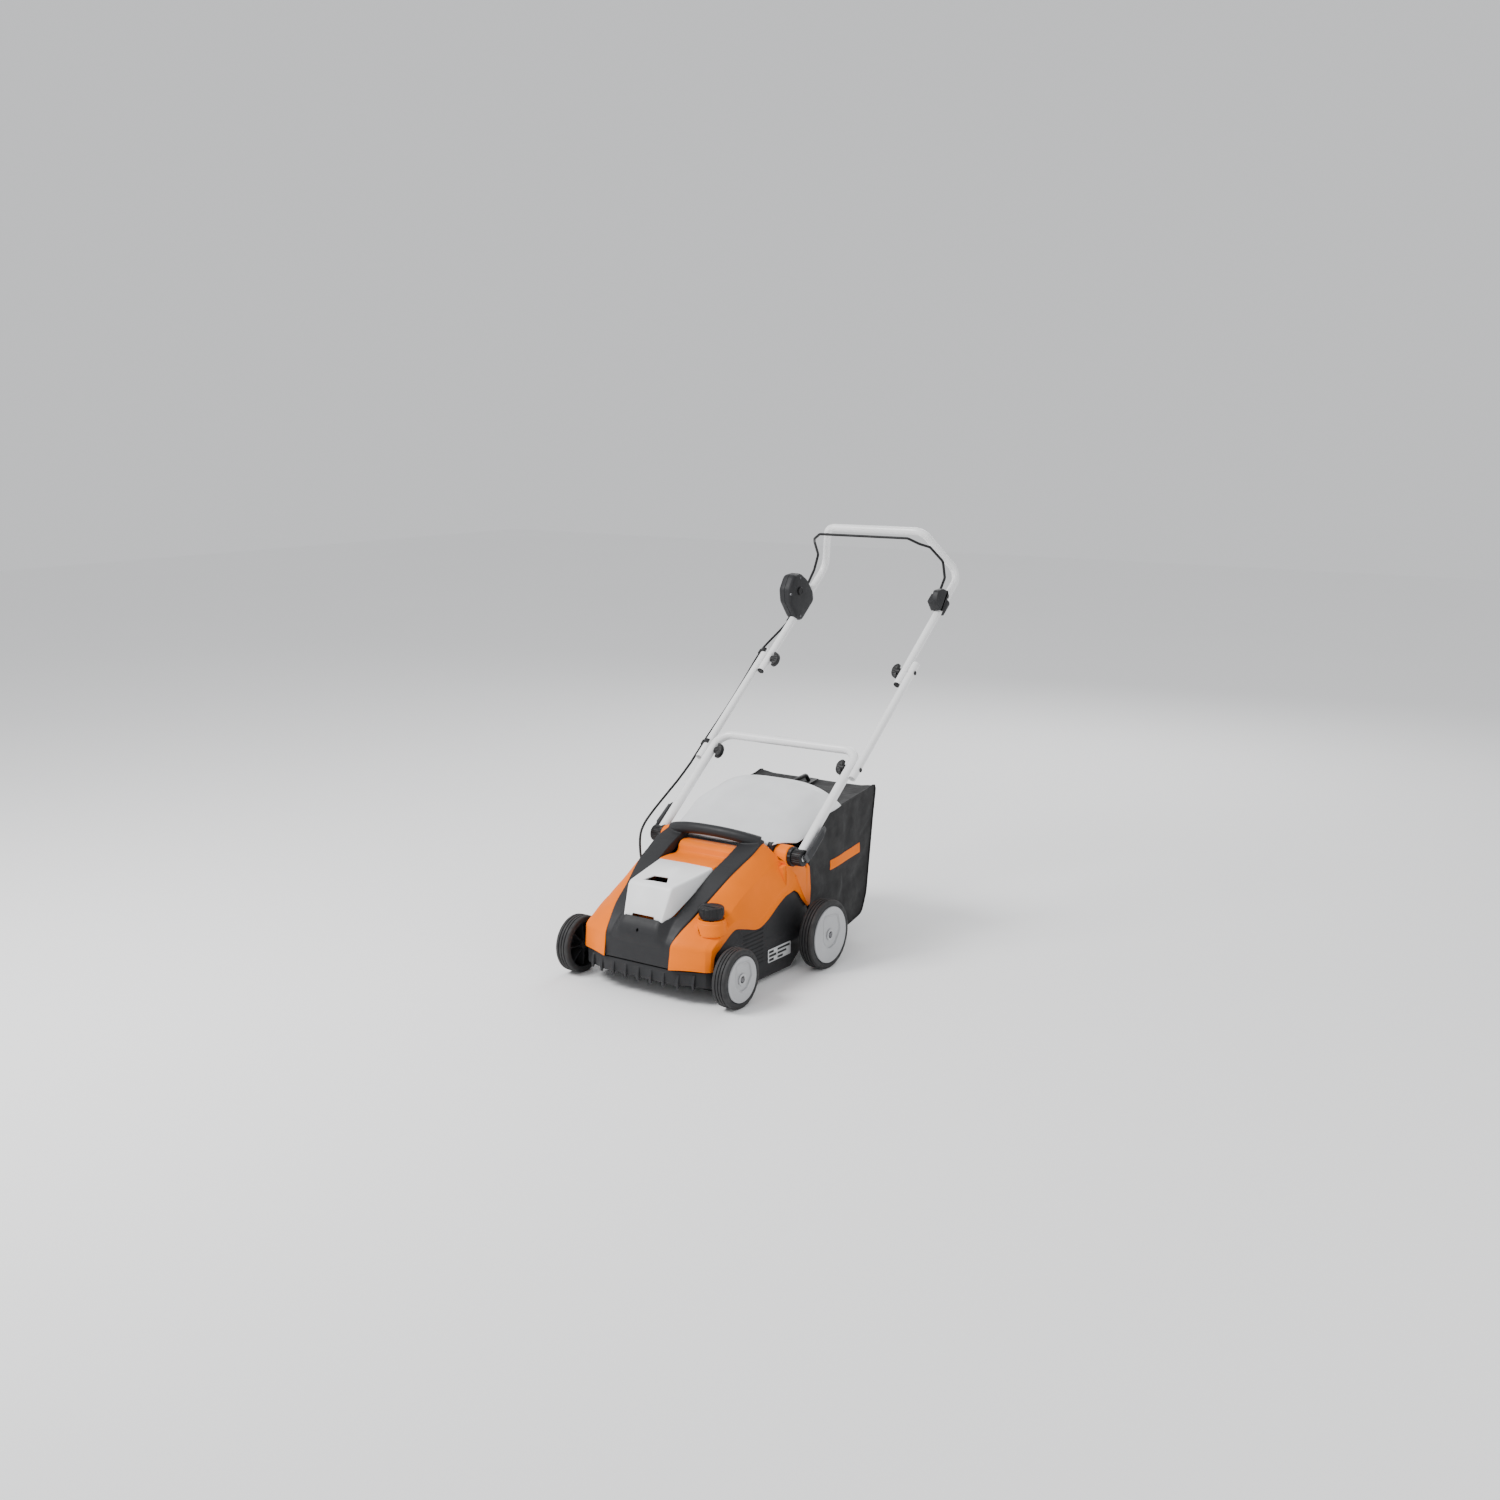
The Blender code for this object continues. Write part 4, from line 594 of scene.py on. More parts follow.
def woven(name, colour, thread=0.0011):
    """Coated polyester cloth: crossing threads over a soft unevenness, with a faint sheen."""
    paint = Paint(name, 0.82)
    pitch = 1.0 / thread
    waves = []
    for turn in ((0.0, 0.0, 0.0), (0.0, math.pi / 2, 0.0), (math.pi / 2, 0.0, math.pi / 2)):
        place = paint.node("ShaderNodeMapping", Vector=paint.coords, Rotation=turn).outputs["Vector"]
        wave = paint.node("ShaderNodeTexWave", Vector=place, Scale=pitch / 6.0, Distortion=0.6, Detail=1.0)
        wave.inputs["Detail Scale"].default_value = 40.0
        waves.append(wave.outputs["Fac"])
    weave = paint.combined("MULTIPLY", waves[0], waves[1])
    cross = paint.combined("ADD", weave, waves[2])
    dusty = paint.ramp(paint.cloud(14.0, 5.0), scaled(colour, 0.80), scaled(colour, 1.45), 0.35, 0.72)
    threads = paint.spread(cross, 0.0, 0.35, 0.4, 1.4)
    paint.use("Base Color", paint.mixed(threads, dusty, scaled(colour, 1.9)))
    paint.use("Roughness", paint.spread(paint.cloud(40.0, 3.0), 0.72, 0.92))
    soft = paint.bump(paint.cloud(48.0, 3.0), 0.25, 0.004)
    paint.use("Normal", paint.bump(cross, 0.35, 0.0003, soft))
    paint.shader.inputs["Sheen Weight"].default_value = 0.06
    paint.shader.inputs["Sheen Roughness"].default_value = 0.5
    return paint.material


def make_materials():
    """Every finish, made by its recipe from the values beside it."""
    recipes = {
        "orange_plastic": (moulded, dict(colour=ORANGE, roughness=0.40, grain=0.05, pitch=1700.0,
                                         worn=1.04, shine=0.07)),
        "dark_plastic": (moulded, dict(colour=DARK, roughness=0.50, grain=0.28, pitch=1300.0)),
        "black_plastic": (moulded, dict(colour=BLACK, roughness=0.46, grain=0.16)),
        "lever_plastic": (moulded, dict(colour=LEVER_GREY, roughness=0.42, grain=0.16)),
        "grey_plastic": (moulded, dict(colour=PALE, roughness=0.36, grain=0.05, pitch=1700.0,
                                       coat=0.10, worn=1.05)),
        "cap_plastic": (moulded, dict(colour=CAP_GREY, roughness=0.38, worn=1.20)),
        "flap_plastic": (translucent, dict(colour=(0.82, 0.83, 0.84))),
        "tyre_rubber": (tyre_rubber, dict(colour=(0.013, 0.013, 0.014))),
        "handle_paint": (powder_coat, dict(colour=(0.84, 0.84, 0.84))),
        "bare_steel": (steel, dict(colour=(0.56, 0.56, 0.57), roughness=0.28)),
        "dark_steel": (steel, dict(colour=(0.17, 0.17, 0.18), roughness=0.44, rust=0.25)),
        "bag_fabric": (woven, dict(colour=(0.0075, 0.0075, 0.0080))),
        "label_foil": (moulded, dict(colour=(0.50, 0.51, 0.52), roughness=0.40, grain=0.04, pitch=900.0)),
        "cable_rubber": (moulded, dict(colour=(0.009, 0.009, 0.010), roughness=0.58, grain=0.12,
                                       pitch=1900.0)),
    }
    return {name: recipe(name, **values) for name, (recipe, values) in recipes.items()}


MATERIALS = make_materials()
SLOT_OF = {part["node"]: part["material_slot"] for part in frame["record"]["subparts"]}


# ---------------------------------------------------------------- putting a piece in place of its node
def paint(obj, slot, finish=None):
    obj.data.materials.clear()
    obj.data.materials.append(MATERIALS[finish or slot])
    return obj


def fitting(obj, name, slot, node, angle=32, finish=None):
    """A finished piece that rides with a node's body and replaces nothing."""
    shaded(obj, angle)
    obj.name = name
    paint(obj, slot, finish)
    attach(obj, NODES[node]["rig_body"])
    return obj


def stand_for(obj, node, angle=32, finish=None):
    """The finished piece takes the node's place, its material and its body."""
    fitting(obj, node + "_skin", SLOT_OF[node], node, angle, finish)
    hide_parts(node)
    return obj


def copied(node):
    """The node's own shape, bare of its materials."""
    obj = link(NODES[node].data.copy(), node)
    obj.data.materials.clear()
    return obj


def rounded_node(node, width, segments=2):
    """The node's own shape with moulded edges."""
    obj = copied(node)
    round_edges(obj, width, segments)
    modified(obj, "WEIGHTED_NORMAL", keep_sharp=True)
    return stand_for(obj, node, 40)


# ---------------------------------------------------------------- camera, light and floor
LENS = 41.213
CAMERA_PLACE = (2.58495, -3.811072, 1.44312)
CAMERA_TURN = (78.799, 0.0, 34.955)
FLOOR_REACH = 12
LIGHTS = (
    ("key", (-1.6, -2.6, 3.4), (0, 0, 0.4), 1.6, 190),
    ("fill", (3.6, -1.0, 1.8), (0, 0, 0.4), 2.6, 30),
    ("rim", (-0.6, 3.2, 2.6), (0, 0, 0.5), 2.2, 60),
)


def make_camera():
    data = bpy.data.cameras.new("view")
    data.sensor_width = 36.0
    data.lens = LENS
    data.clip_end = 60.0
    camera = link(data, "view")
    camera.location = CAMERA_PLACE
    camera.rotation_euler = [math.radians(angle) for angle in CAMERA_TURN]
    bpy.context.scene.camera = camera


def area_light(name, place, aim, size, power):
    data = bpy.data.lights.new(name, "AREA")
    data.shape = "RECTANGLE"
    data.size = size
    data.size_y = size
    data.energy = power
    lamp = link(data, name)
    lamp.location = place
    lamp.rotation_euler = (Vector(aim) - Vector(place)).to_track_quat("-Z", "Y").to_euler()


def make_stage():
    reach = FLOOR_REACH
    floor = grid([[Vector((-reach, y, 0)), Vector((reach, y, 0))] for y in (-reach, reach)])
    floor.name = "floor"
    surface = Paint("floor", 0.85)
    surface.use("Base Color", surface.ramp(surface.cloud(0.6), (0.93, 0.93, 0.93), (0.96, 0.96, 0.96)))
    floor.data.materials.append(surface.material)
    world = bpy.data.worlds.new("studio")
    bpy.context.scene.world = world
    world.use_nodes = True
    background = world.node_tree.nodes["Background"]
    background.inputs["Color"].default_value = (0.97, 0.98, 1.0, 1)
    background.inputs["Strength"].default_value = 0.80
    for light in LIGHTS:
        area_light(*light)


make_camera()
make_stage()


# ---------------------------------------------------------------- side panels
# The panel's long lines from its foot at the front to its end at the rear: seam, ridge, band top, band foot.
SEAM = [
    (0.1024, -0.1575, 0.0890), (0.1028, -0.1515, 0.1280), (0.1038, -0.1460, 0.1520),
    (0.1110, -0.1190, 0.1770), (0.1230, -0.0790, 0.2060), (0.1310, -0.0310, 0.2365),
    (0.1455, 0.0400, 0.2845), (0.1510, 0.0880, 0.3080), (0.1560, 0.1320, 0.3280),
    (0.1520, 0.1750, 0.3440), (0.1480, 0.1930, 0.3455),
]
RIDGE = [
    (0.1895, -0.1214, 0.0885), (0.1885, -0.1185, 0.1280), (0.1870, -0.1150, 0.1490),
    (0.1880, -0.0860, 0.1690), (0.1885, -0.0520, 0.1870), (0.1880, -0.0150, 0.2120),
    (0.1860, 0.0400, 0.2410), (0.1855, 0.0880, 0.2600), (0.1850, 0.1320, 0.2750),
    (0.1840, 0.1850, 0.2950), (0.1840, 0.2150, 0.3030),
]
BAND_TOP = [
    (0.2000, -0.1130, 0.0885), (0.2005, -0.1090, 0.1280), (0.2010, -0.1050, 0.1470),
    (0.2020, -0.0760, 0.1640), (0.2025, -0.0440, 0.1830), (0.2030, -0.0080, 0.1960),
    (0.2030, 0.0400, 0.1850), (0.2030, 0.0880, 0.1725), (0.2030, 0.1320, 0.1900),
    (0.2030, 0.1800, 0.2190), (0.2030, 0.2200, 0.2385),
]
BAND_FOOT = [
    (0.2028, -0.1050, 0.0885), (0.2029, -0.0960, 0.1270), (0.2030, -0.0740, 0.1415),
    (0.2030, -0.0500, 0.1555), (0.2030, -0.0245, 0.1690), (0.2030, -0.0030, 0.1725),
    (0.2030, 0.0400, 0.1620), (0.2030, 0.0880, 0.1505), (0.2030, 0.1320, 0.1630),
    (0.2030, 0.1800, 0.1910), (0.2030, 0.2240, 0.2125),
]
CROWN = 0.0022
PANEL_FILLET = 0.0035


def panel_skin():
    """The crowned top, the soft ridge and the band round the wheel arch, as one thick skin."""
    swell = Vector((0.12, -0.55, 0.82)).normalized() * CROWN
    lines = [curve_through(line, 5) for line in (SEAM, RIDGE, BAND_TOP, BAND_FOOT)]
    rows = []
    for seam, ridge, top, foot in zip(*lines):
        seam, ridge, top, foot = (Vector(p) for p in (seam, ridge, top, foot))
        width = ridge - seam
        crowned = [seam + width * k / 6 + swell * math.sin(math.pi * k / 6) for k in range(6)]
        edge = filleted([crowned[-1], ridge, top, foot], PANEL_FILLET, 4)
        rows.append([at(*p) for p in crowned[:-1] + edge])
    skin = grid(rows)
    return thickened(skin, SHELL, middle_face(skin), (0, 0, 1), even=True)


def panel_boss():
    """The round boss that the handle turns on, with a web down to the rear lobe."""
    boss = cross_rod(0.1640, 0.2050, PIVOT, 0.0280, 56, 0.0022)
    web = prism([(0.200, 0.286), (0.2130, 0.240), (0.2780, 0.2300), (0.2610, 0.3020)], "x", 0.1650, 0.2010)
    return join(boss, web)


def rear_lobe():
    """The plate behind the boss that runs down to a tip above the rear wheel, with one slot."""
    outline = [(0.2150, 0.2080), (0.2530, 0.2147), (0.2750, 0.2020), (0.2930, 0.1800), (0.3180, 0.1550),
               (0.3300, 0.1600), (0.3330, 0.2020), (0.3270, 0.2620), (0.3050, 0.2850), (0.2150, 0.3000)]
    rounded = [(p.x, p.y) for p in filleted([Vector((a, b, 0)) for a, b in outline + outline[:1]], 0.006, 3)]
    plate = prism(rounded[:-1], "x", 0.1990, BAND_X)
    slot = prism([(0.308, 0.262), (0.313, 0.264), (0.308, 0.279), (0.303, 0.277)], "x", 0.190, 0.215)
    rib = prism([(0.2560, 0.2520), (0.2620, 0.2540), (0.3120, 0.1720), (0.3090, 0.1680)], "x", 0.2015, 0.2052)
    return join(cut(plate, slot), rib)


def knob_collar():
    """The stepped cone under the depth knob, running into the panel with a soft foot."""
    profile = [(0.0290, 0.1700), (0.0290, 0.2040), (0.0325, 0.2085), (0.0342, 0.2078), (0.0348, 0.2060),
               (0.0350, 0.2010), (0.0368, 0.2000), (0.0376, 0.1985), (0.0384, 0.1900), (0.0400, 0.1820),
               (0.0430, 0.1740), (0.0430, 0.1700)]
    collar = upright(profile, KNOB_X, KNOB_Y, 72)
    return cut(collar, box((BAND_X - 0.0006, -0.12, 0.10), (0.24, 0.02, 0.25)))


def make_side_panels():
    """Mirror images, but for the knob's collar on the right and the cable's hole on the left."""
    cable_hole = rod(at(-0.178, 0.112, 0.236), at(-0.212, 0.127, 0.276), 0.0072, 20)
    plain = join(panel_skin(), panel_boss(), rear_lobe())
    left = cut(mirrored(plain, "left"), cable_hole)
    right = join(plain, knob_collar())
    for obj, node in ((left, "side_panel_left"), (right, "side_panel_right")):
        round_edges(obj, 0.0011, 2, 34)
        stand_for(obj, node, 36)


# ---------------------------------------------------------------- centre cover
ARM_TOP = [(-0.1495, 0.0895), (-0.1492, 0.1200), (-0.1455, 0.1500), (-0.1180, 0.1830), (-0.0780, 0.2125),
           (-0.0300, 0.2425), (0.0410, 0.2905), (0.0890, 0.3140), (0.1330, 0.3340), (0.1720, 0.3490),
           (0.1890, 0.3550)]
ARM_UNDER = [(0.1990, 0.3500), (0.1985, 0.3400), (0.1330, 0.3080), (0.0890, 0.2870), (0.0410, 0.2640),
             (-0.0300, 0.2150), (-0.0780, 0.1850), (-0.1120, 0.1600), (-0.1390, 0.1420), (-0.1405, 0.0895)]
NOSE_LINE = [(-0.1492, 0.1180, 0), (-0.1455, 0.1500, 0), (-0.1180, 0.1830, 0), (-0.0900, 0.2040, 0)]
COVER_VOXEL = 0.0016
COVER_FACES = 26000
COVER_WINDOW = [(0.0605, -0.1278), (0.0730, -0.0940), (0.0895, 0.0550), (0.0935, 0.1090), (0.0935, 0.2300)]


def cover_frame():
    """The arms and front face: a smooth side profile trimmed along the seam with the panels."""
    top = curve_through([(a, b, 0) for a, b in ARM_TOP], 5)
    profile = [(p[0], p[1]) for p in top] + ARM_UNDER
    seam = curve_through([(x - 0.0005, y, 0) for x, y, z in SEAM], 5)
    half = [(0.1019, -0.1700)] + [(p[0], p[1]) for p in seam] + [(0.1440, 0.2100)]
    plan = half + [(-x, y) for x, y in reversed(half)]
    return keep(prism(profile, "x", -0.17, 0.17), prism(plan, "z", 0.05, 0.42))


def smooth_step(t):
    t = min(1.0, max(0.0, t))
    return t * t * (3 - 2 * t)


def nose():
    """The crowned pad that swells out of the front face up to the foot of the battery cover."""
    line = curve_through(NOSE_LINE, 8)
    rows = []
    for i, (y, z, _) in enumerate(line):
        before = np.array(line[max(i - 1, 0)])
        after = np.array(line[min(i + 1, len(line) - 1)])
        heading = Vector(tuple(after - before)).normalized()
        out = Vector((0, -heading.y, heading.x))
        climb = 0.0215 * smooth_step((z - 0.128) / 0.052)
        half_x = 0.0985 - 0.012 * smooth_step((z - 0.13) / 0.07)
        row = []
        for k in range(25):
            t = -1 + k / 12
            swell = climb * (1 - smooth_step((abs(t) - 0.58) / 0.42)) - 0.0012
            row.append(at(half_x * t, y, z) + out * swell)
        rows.append(row)
    return thickened(grid(rows), 0.006, 0, (0, -1, 0))


def carry_bar():
    """The grip across the arms' tops, bowed forward and up in its middle."""
    route = []
    radii = []
    for k in range(33):
        t = -1 + k / 16
        ease = abs(t) ** 2.4
        route.append(at(0.140 * t, 0.158 + 0.029 * ease, 0.3665 - 0.0195 * ease))
        radii.append(0.0150 + 0.0012 * ease)
    return swept(route, radii, 32)


def make_centre_cover():
    """One moulding: its parts are joined and given a single skin, which fillets them together."""
    window = prism(COVER_WINDOW + [(-x, y) for x, y in reversed(COVER_WINDOW)], "z", 0.1880, 0.4200)
    under = box((-0.0585, -0.1180, 0.1000), (0.0585, -0.0500, 0.1885))
    hole = rod(at(0, -0.1600, 0.1680), at(0, -0.1200, 0.1800), 0.0042, 24)
    body = cut(join(cover_frame(), nose()), window, under)
    body = join(body, carry_bar())
    modified(body, "REMESH", mode="VOXEL", voxel_size=COVER_VOXEL)
    modified(body, "SMOOTH", factor=0.5, iterations=7)
    modified(body, "DECIMATE", ratio=min(1.0, COVER_FACES / (2 * len(body.data.polygons))))
    stand_for(cut(body, hole), "centre_cover", 50)


# ---------------------------------------------------------------- battery lid and tray
def lid_rows(inset):
    """Stations from the hinge to the steep front, the nose rounded over between them."""
    return [
        (0.0530 - inset, 0.0869, 0.3004, 0.0875, 0.2850, 0.0012),
        (-0.0200, 0.0779, 0.2895, 0.0797, 0.2460, 0.0016),
        (-0.0830 + inset, 0.0701, 0.2805, 0.0728, 0.2118, 0.0014),
        (-0.0900 + inset, 0.0690, 0.2785, 0.0718, 0.2080, 0.0012),
        (-0.0955 + inset, 0.0680, 0.2745, 0.0706, 0.2050, 0.0010),
        (-0.0990 + inset, 0.0672, 0.2680, 0.0698, 0.2035, 0.0008),
        (-0.1130 + inset, 0.0632, 0.2340, 0.0652, 0.1960, 0.0005),
        (-0.1265 + inset, 0.0590, 0.1990, 0.0600, 0.1890, 0.0002),
    ]


def lid_solid(inset, drop):
    """The lid's outside, or with an inset and a drop the space inside it."""
    sections = []
    for y, top_x, top_z, foot_x, foot_z, crown in lid_rows(inset):
        half = [Vector((foot_x - inset, 0, foot_z - drop)), Vector((top_x - inset, 0, top_z - inset)),
                Vector((0, 0, top_z - inset + crown))]
        corner = filleted(half, 0.0085, 6)
        side = [at(p.x, y, p.z) for p in corner]
        other = [at(-p.x, y, p.z) for p in reversed(corner[:-1])]
        sections.append(side + other)
    return grid(sections, closed=True, caps=True)


LID_WALL = 0.003
LID_WINDOW = [(-0.0345, -0.0790), (0.0365, -0.0740), (0.0190, -0.0435), (-0.0230, -0.0460)]
LID_NOTCH = [(-0.0400, 0.1700), (0.0440, 0.1700), (0.0340, 0.2050), (-0.0335, 0.2050)]
LATCH_FLAG = [(-0.0120, -0.0690), (0.0300, -0.0665), (0.0200, -0.0500), (-0.0060, -0.0515)]


def make_battery_lid():
    """The pale lid with its window, and the battery's flag that shows through it."""
    window = prism(LID_WINDOW, "z", 0.26, 0.32)
    notch = prism(LID_NOTCH, "y", -0.1500, -0.1120)
    lid = cut(lid_solid(0.0, 0.0), lid_solid(LID_WALL, 0.03), window, notch)
    round_edges(lid, 0.0012, 2, 34)
    stand_for(lid, "battery_cover", 38)
    flag = round_edges(prism(LATCH_FLAG, "z", 0.2584, 0.2610), 0.0005)
    fitting(flag, "battery_latch_flag", "orange_plastic", "battery_pack")


# ---------------------------------------------------------------- housing and drive
def kept_crisp(point):
    """The louvres, and the shallow step of the right wall behind them, where a bevel has no room."""
    y = point.y - Y_SHIFT
    in_louvres = point.x > 0.193 and 0.024 < y < 0.122 and 0.050 < point.z < 0.150
    on_step = point.x > 0.170 and 0.112 < y < 0.325 and 0.070 < point.z < 0.125
    return in_louvres or on_step


def make_louvre_shadows():
    """Black strips painted in as the shade on the floor of each slot in the right wall, shortened round the
    front wheel like the slot.
    """
    clear_r = 0.100
    for row in range(9):
        z = 0.1440 - 0.0108 * row
        reach = math.sqrt(max(0.0, clear_r**2 - (z - FRONT_WHEEL_R) ** 2))
        start = max(0.028, FRONT_WHEEL_Y + reach + 0.012)
        # Painted shade: a thin black sheet set just inside the wall, where each slot's floor lies in shadow.
        strip = box((0.19535, start + 0.0002, z - 0.0020), (0.19580, 0.1178, z + 0.0020))
        fitting(strip, f"louvre_painted_shade_{row + 1}", "black_plastic", "deck_housing")


EDGE_WIDTHS = {
    "battery_pack": 0.0010, "front_axle": 0.0008, "rear_axle": 0.0008, "tine_drum": 0.0004,
    "drum_shaft": 0.0005, "bearing_left": 0.0006, "bearing_right": 0.0006, "motor_housing": 0.0012,
    "motor_shaft": 0.0004, "drive_belt": 0.0004, "catcher_frame": 0.0012, "rating_plate": 0.0003,
}


def make_chassis():
    """The housing and the other pieces that keep the CAD's own shape, with their edges rounded."""
    housing = copied("deck_housing")
    round_edges(housing, 0.0014, 2, 26, kept_crisp)
    modified(housing, "TRIANGULATE", quad_method="BEAUTY", ngon_method="BEAUTY")
    stand_for(housing, "deck_housing", 30)
    rounded_node("belt_cover", 0.0012)
    for node, width in EDGE_WIDTHS.items():
        rounded_node(node, width)


def make_rating_plate_print():
    """Blank fields and rules in low relief, with nothing written in them."""
    back = 0.1988
    face = 0.19925
    fields = []
    for row in range(3):
        z = 0.0725 - 0.0105 * row
        short_end = 0.1650 + 0.0120 * (row % 2)
        long_end = 0.2390 - 0.0160 * row
        fields.append(box((back, 0.1430, z - 0.0034), (face, short_end, z + 0.0034)))
        fields.append(box((back, 0.1820, z - 0.0030), (face, long_end, z + 0.0030)))
    for number, field in enumerate(fields):
        round_edges(field, 0.00015, 1)
        fitting(field, f"plate_field_{number + 1}", "dark_plastic", "rating_plate")


# ---------------------------------------------------------------- wheels
TYRE_SET_IN = 0.0022


def tyre_profile(radius, disc_x):
    """The tyre's section, with three grooves round its tread."""
    outer = disc_x - TYRE_SET_IN
    inner = outer - TYRE_WIDTH
    seat = radius - 0.0127
    floor = radius - 0.0046
    points = [(inner + 0.0006, seat), (inner, seat + 0.0012), (inner, radius - 0.0058)]
    points += [(inner + 0.0012, radius - 0.0022), (inner + 0.0034, radius - 0.0006)]
    spacing = (TYRE_WIDTH - 0.0060) / 4
    for number in range(1, 4):
        x = inner + 0.0030 + spacing * number
        points += [(x - 0.0026, radius), (x - 0.0013, radius - 0.0004), (x - 0.0010, floor)]
        points += [(x + 0.0010, floor), (x + 0.0013, radius - 0.0004), (x + 0.0026, radius)]
    points += [(outer - 0.0034, radius - 0.0006), (outer - 0.0012, radius - 0.0022)]
    return points + [(outer, radius - 0.0058), (outer, seat + 0.0012), (outer - 0.0006, seat)]


def make_wheel(end, word, side, y, radius, disc_x):
    """A tyre and its rim, which is ribbed behind the web, and the cap over them."""
    tyre = lathe(tyre_profile(radius, disc_x), side, y, radius)
    stand_for(tyre, f"tyre_{end}_{word}", 38)
    barrel = radius - 0.0130
    outer = disc_x - 0.0026
    web = disc_x - 0.0066
    inner = outer - TYRE_WIDTH + 0.0010
    hub = inner + 0.0015
    profile = [(inner + 0.0004, barrel - 0.0030), (inner, barrel - 0.0026), (inner, barrel), (outer, barrel),
               (outer + 0.0004, barrel - 0.0006), (outer, barrel - 0.0026), (web + 0.0010, barrel - 0.0030),
               (web + 0.0010, 0.0053), (hub, 0.0053), (hub, 0.0112), (hub + 0.0008, 0.0120),
               (web - 0.0060, 0.0136), (web - 0.0020, 0.0170), (web - 0.0020, barrel - 0.0060),
               (web - 0.0050, barrel - 0.0030)]
    rim = lathe(profile, side, y, radius)
    ribs = []
    rib_corners = [(inner + 0.0090, barrel - 0.0010), (inner + 0.0040, 0.0110), (web, 0.0100),
                   (web, barrel - 0.0010)]
    for number in range(8):
        rib = grid([[Vector((side * x, half, r)) for x, r in rib_corners] for half in (-0.0012, 0.0012)],
                   closed=True, caps=True)
        rib.data.transform(Matrix.Rotation(math.tau * number / 8, 4, "X"))
        rib.data.transform(Matrix.Translation(at(0, y, radius)))
        ribs.append(rib)
    stand_for(join(rim, *ribs), f"rim_{end}_{word}", 34)
    make_cap(end, word, side, y, radius, disc_x)


CAP_RELIEF = [(-0.030, 0.052), (-0.031, -0.010), (-0.008, -0.036), (0.022, -0.030), (0.047, 0.004),
              (0.036, 0.046)]


def make_cap(end, word, side, y, radius, disc_x):
    """The grey dished disc with its raised edge, an off-centre pocket with a bead round it, and a hub."""
    edge = radius - 0.0170
    back = disc_x - 0.0053
    face = disc_x - 0.0012
    profile = [(back, 0.0092), (back, edge), (disc_x - 0.0014, edge), (disc_x - 0.0003, edge - 0.0006),
               (disc_x, edge - 0.0018), (disc_x, edge - 0.0048), (disc_x - 0.0004, edge - 0.0060),
               (face, edge - 0.0078), (face - 0.0006, 0.024), (face, 0.0165), (face + 0.0007, 0.0150),
               (face + 0.0009, 0.0136), (face + 0.0009, 0.0098), (face + 0.0004, 0.0092)]
    cap = lathe(profile, side, y, radius)
    scale = radius / REAR_WHEEL_R
    outline = rounded_loop(CAP_RELIEF, 0.016, 6)

    def relief_row(x, grow, points):
        return [at(side * x, y + p.x * scale * grow, radius + p.y * scale * grow) for p in points]

    steps = ((face - 0.0034, 0.99), (face - 0.0006, 1.03), (face + 0.010, 1.06))
    relief = grid([relief_row(x, grow, outline) for x, grow in steps], closed=True, caps=True)
    hub_room = rod(at(side * (face - 0.003), y, radius), at(side * (face + 0.012), y, radius), 0.0150, 40)
    node = f"wheel_cap_{end}_{word}"
    stand_for(cut(cap, cut(relief, hub_room)), node, 30, "cap_plastic")
    bead = swept(relief_row(face - 0.0002, 1.08, outline + outline[:1]), 0.0014, 10)
    fitting(bead, f"cap_bead_{end}_{word}", SLOT_OF[node], node, 60, "cap_plastic")


def make_wheels():
    for end, y, radius, disc_x in (("front", FRONT_WHEEL_Y, FRONT_WHEEL_R, FRONT_DISC_X),
                                   ("rear", REAR_WHEEL_Y, REAR_WHEEL_R, REAR_DISC_X)):
        for word, side in SIDES:
            make_wheel(end, word, side, y, radius, disc_x)


def make_depth_knob():
    """A fluted cap with a raised finger bar and a dished edge, on its spindle."""
    def flute(radius, z, angle):
        if radius < 0.029 or not 0.2165 < z < 0.2375:
            return 0.0
        return -0.0016 * max(0.0, math.cos(12 * angle)) ** 3

    profile = [(0.0030, 0.2100), (0.0285, 0.2100), (0.0290, 0.2105), (0.0290, 0.2150), (0.0308, 0.2154),
               (0.0318, 0.2166), (0.0321, 0.2200), (0.0319, 0.2340), (0.0308, 0.2374), (0.0288, 0.2390),
               (0.0250, 0.2394), (0.0215, 0.2384), (0.0030, 0.2378)]
    knob = upright(profile, KNOB_X, KNOB_Y, 144, flute)
    spindle = rod(at(KNOB_X, KNOB_Y, 0.1265), at(KNOB_X, KNOB_Y, 0.2384), 0.0060, 28)
    bar = box((KNOB_X - 0.0215, KNOB_Y - 0.0050, 0.2370), (KNOB_X + 0.0215, KNOB_Y + 0.0050, 0.2395))
    stand_for(join(knob, spindle, round_edges(bar, 0.0012)), "depth_knob", 34)


# ---------------------------------------------------------------- rear flap
# Stations from the hinge to the rear edge: y, half width, height at the middle, height at the sides.
FLAP_ROWS = [
    (0.2038, 0.1460, 0.3330, 0.3290), (0.2040, 0.1550, 0.3420, 0.3310), (0.2075, 0.1600, 0.3510, 0.3370),
    (0.2140, 0.1670, 0.3535, 0.3425), (0.2300, 0.1710, 0.3590, 0.3425), (0.2520, 0.1765, 0.3710, 0.3400),
    (0.2690, 0.1860, 0.3800, 0.3370), (0.2860, 0.1960, 0.3900, 0.3380), (0.3300, 0.2020, 0.4080, 0.3560),
    (0.3900, 0.2050, 0.4300, 0.3850), (0.4500, 0.2055, 0.4480, 0.3950), (0.4760, 0.2060, 0.4535, 0.4020),
]
FLAP_THICKNESS = 0.0026
PLATEAU = 0.0036
FLAP_PIN_Y = 0.215
FLAP_PIN_Z = 0.335
KNUCKLE = [(0.2102, 0.3303), (0.2199, 0.3303), (0.2260, 0.3491), (0.2080, 0.3454)]


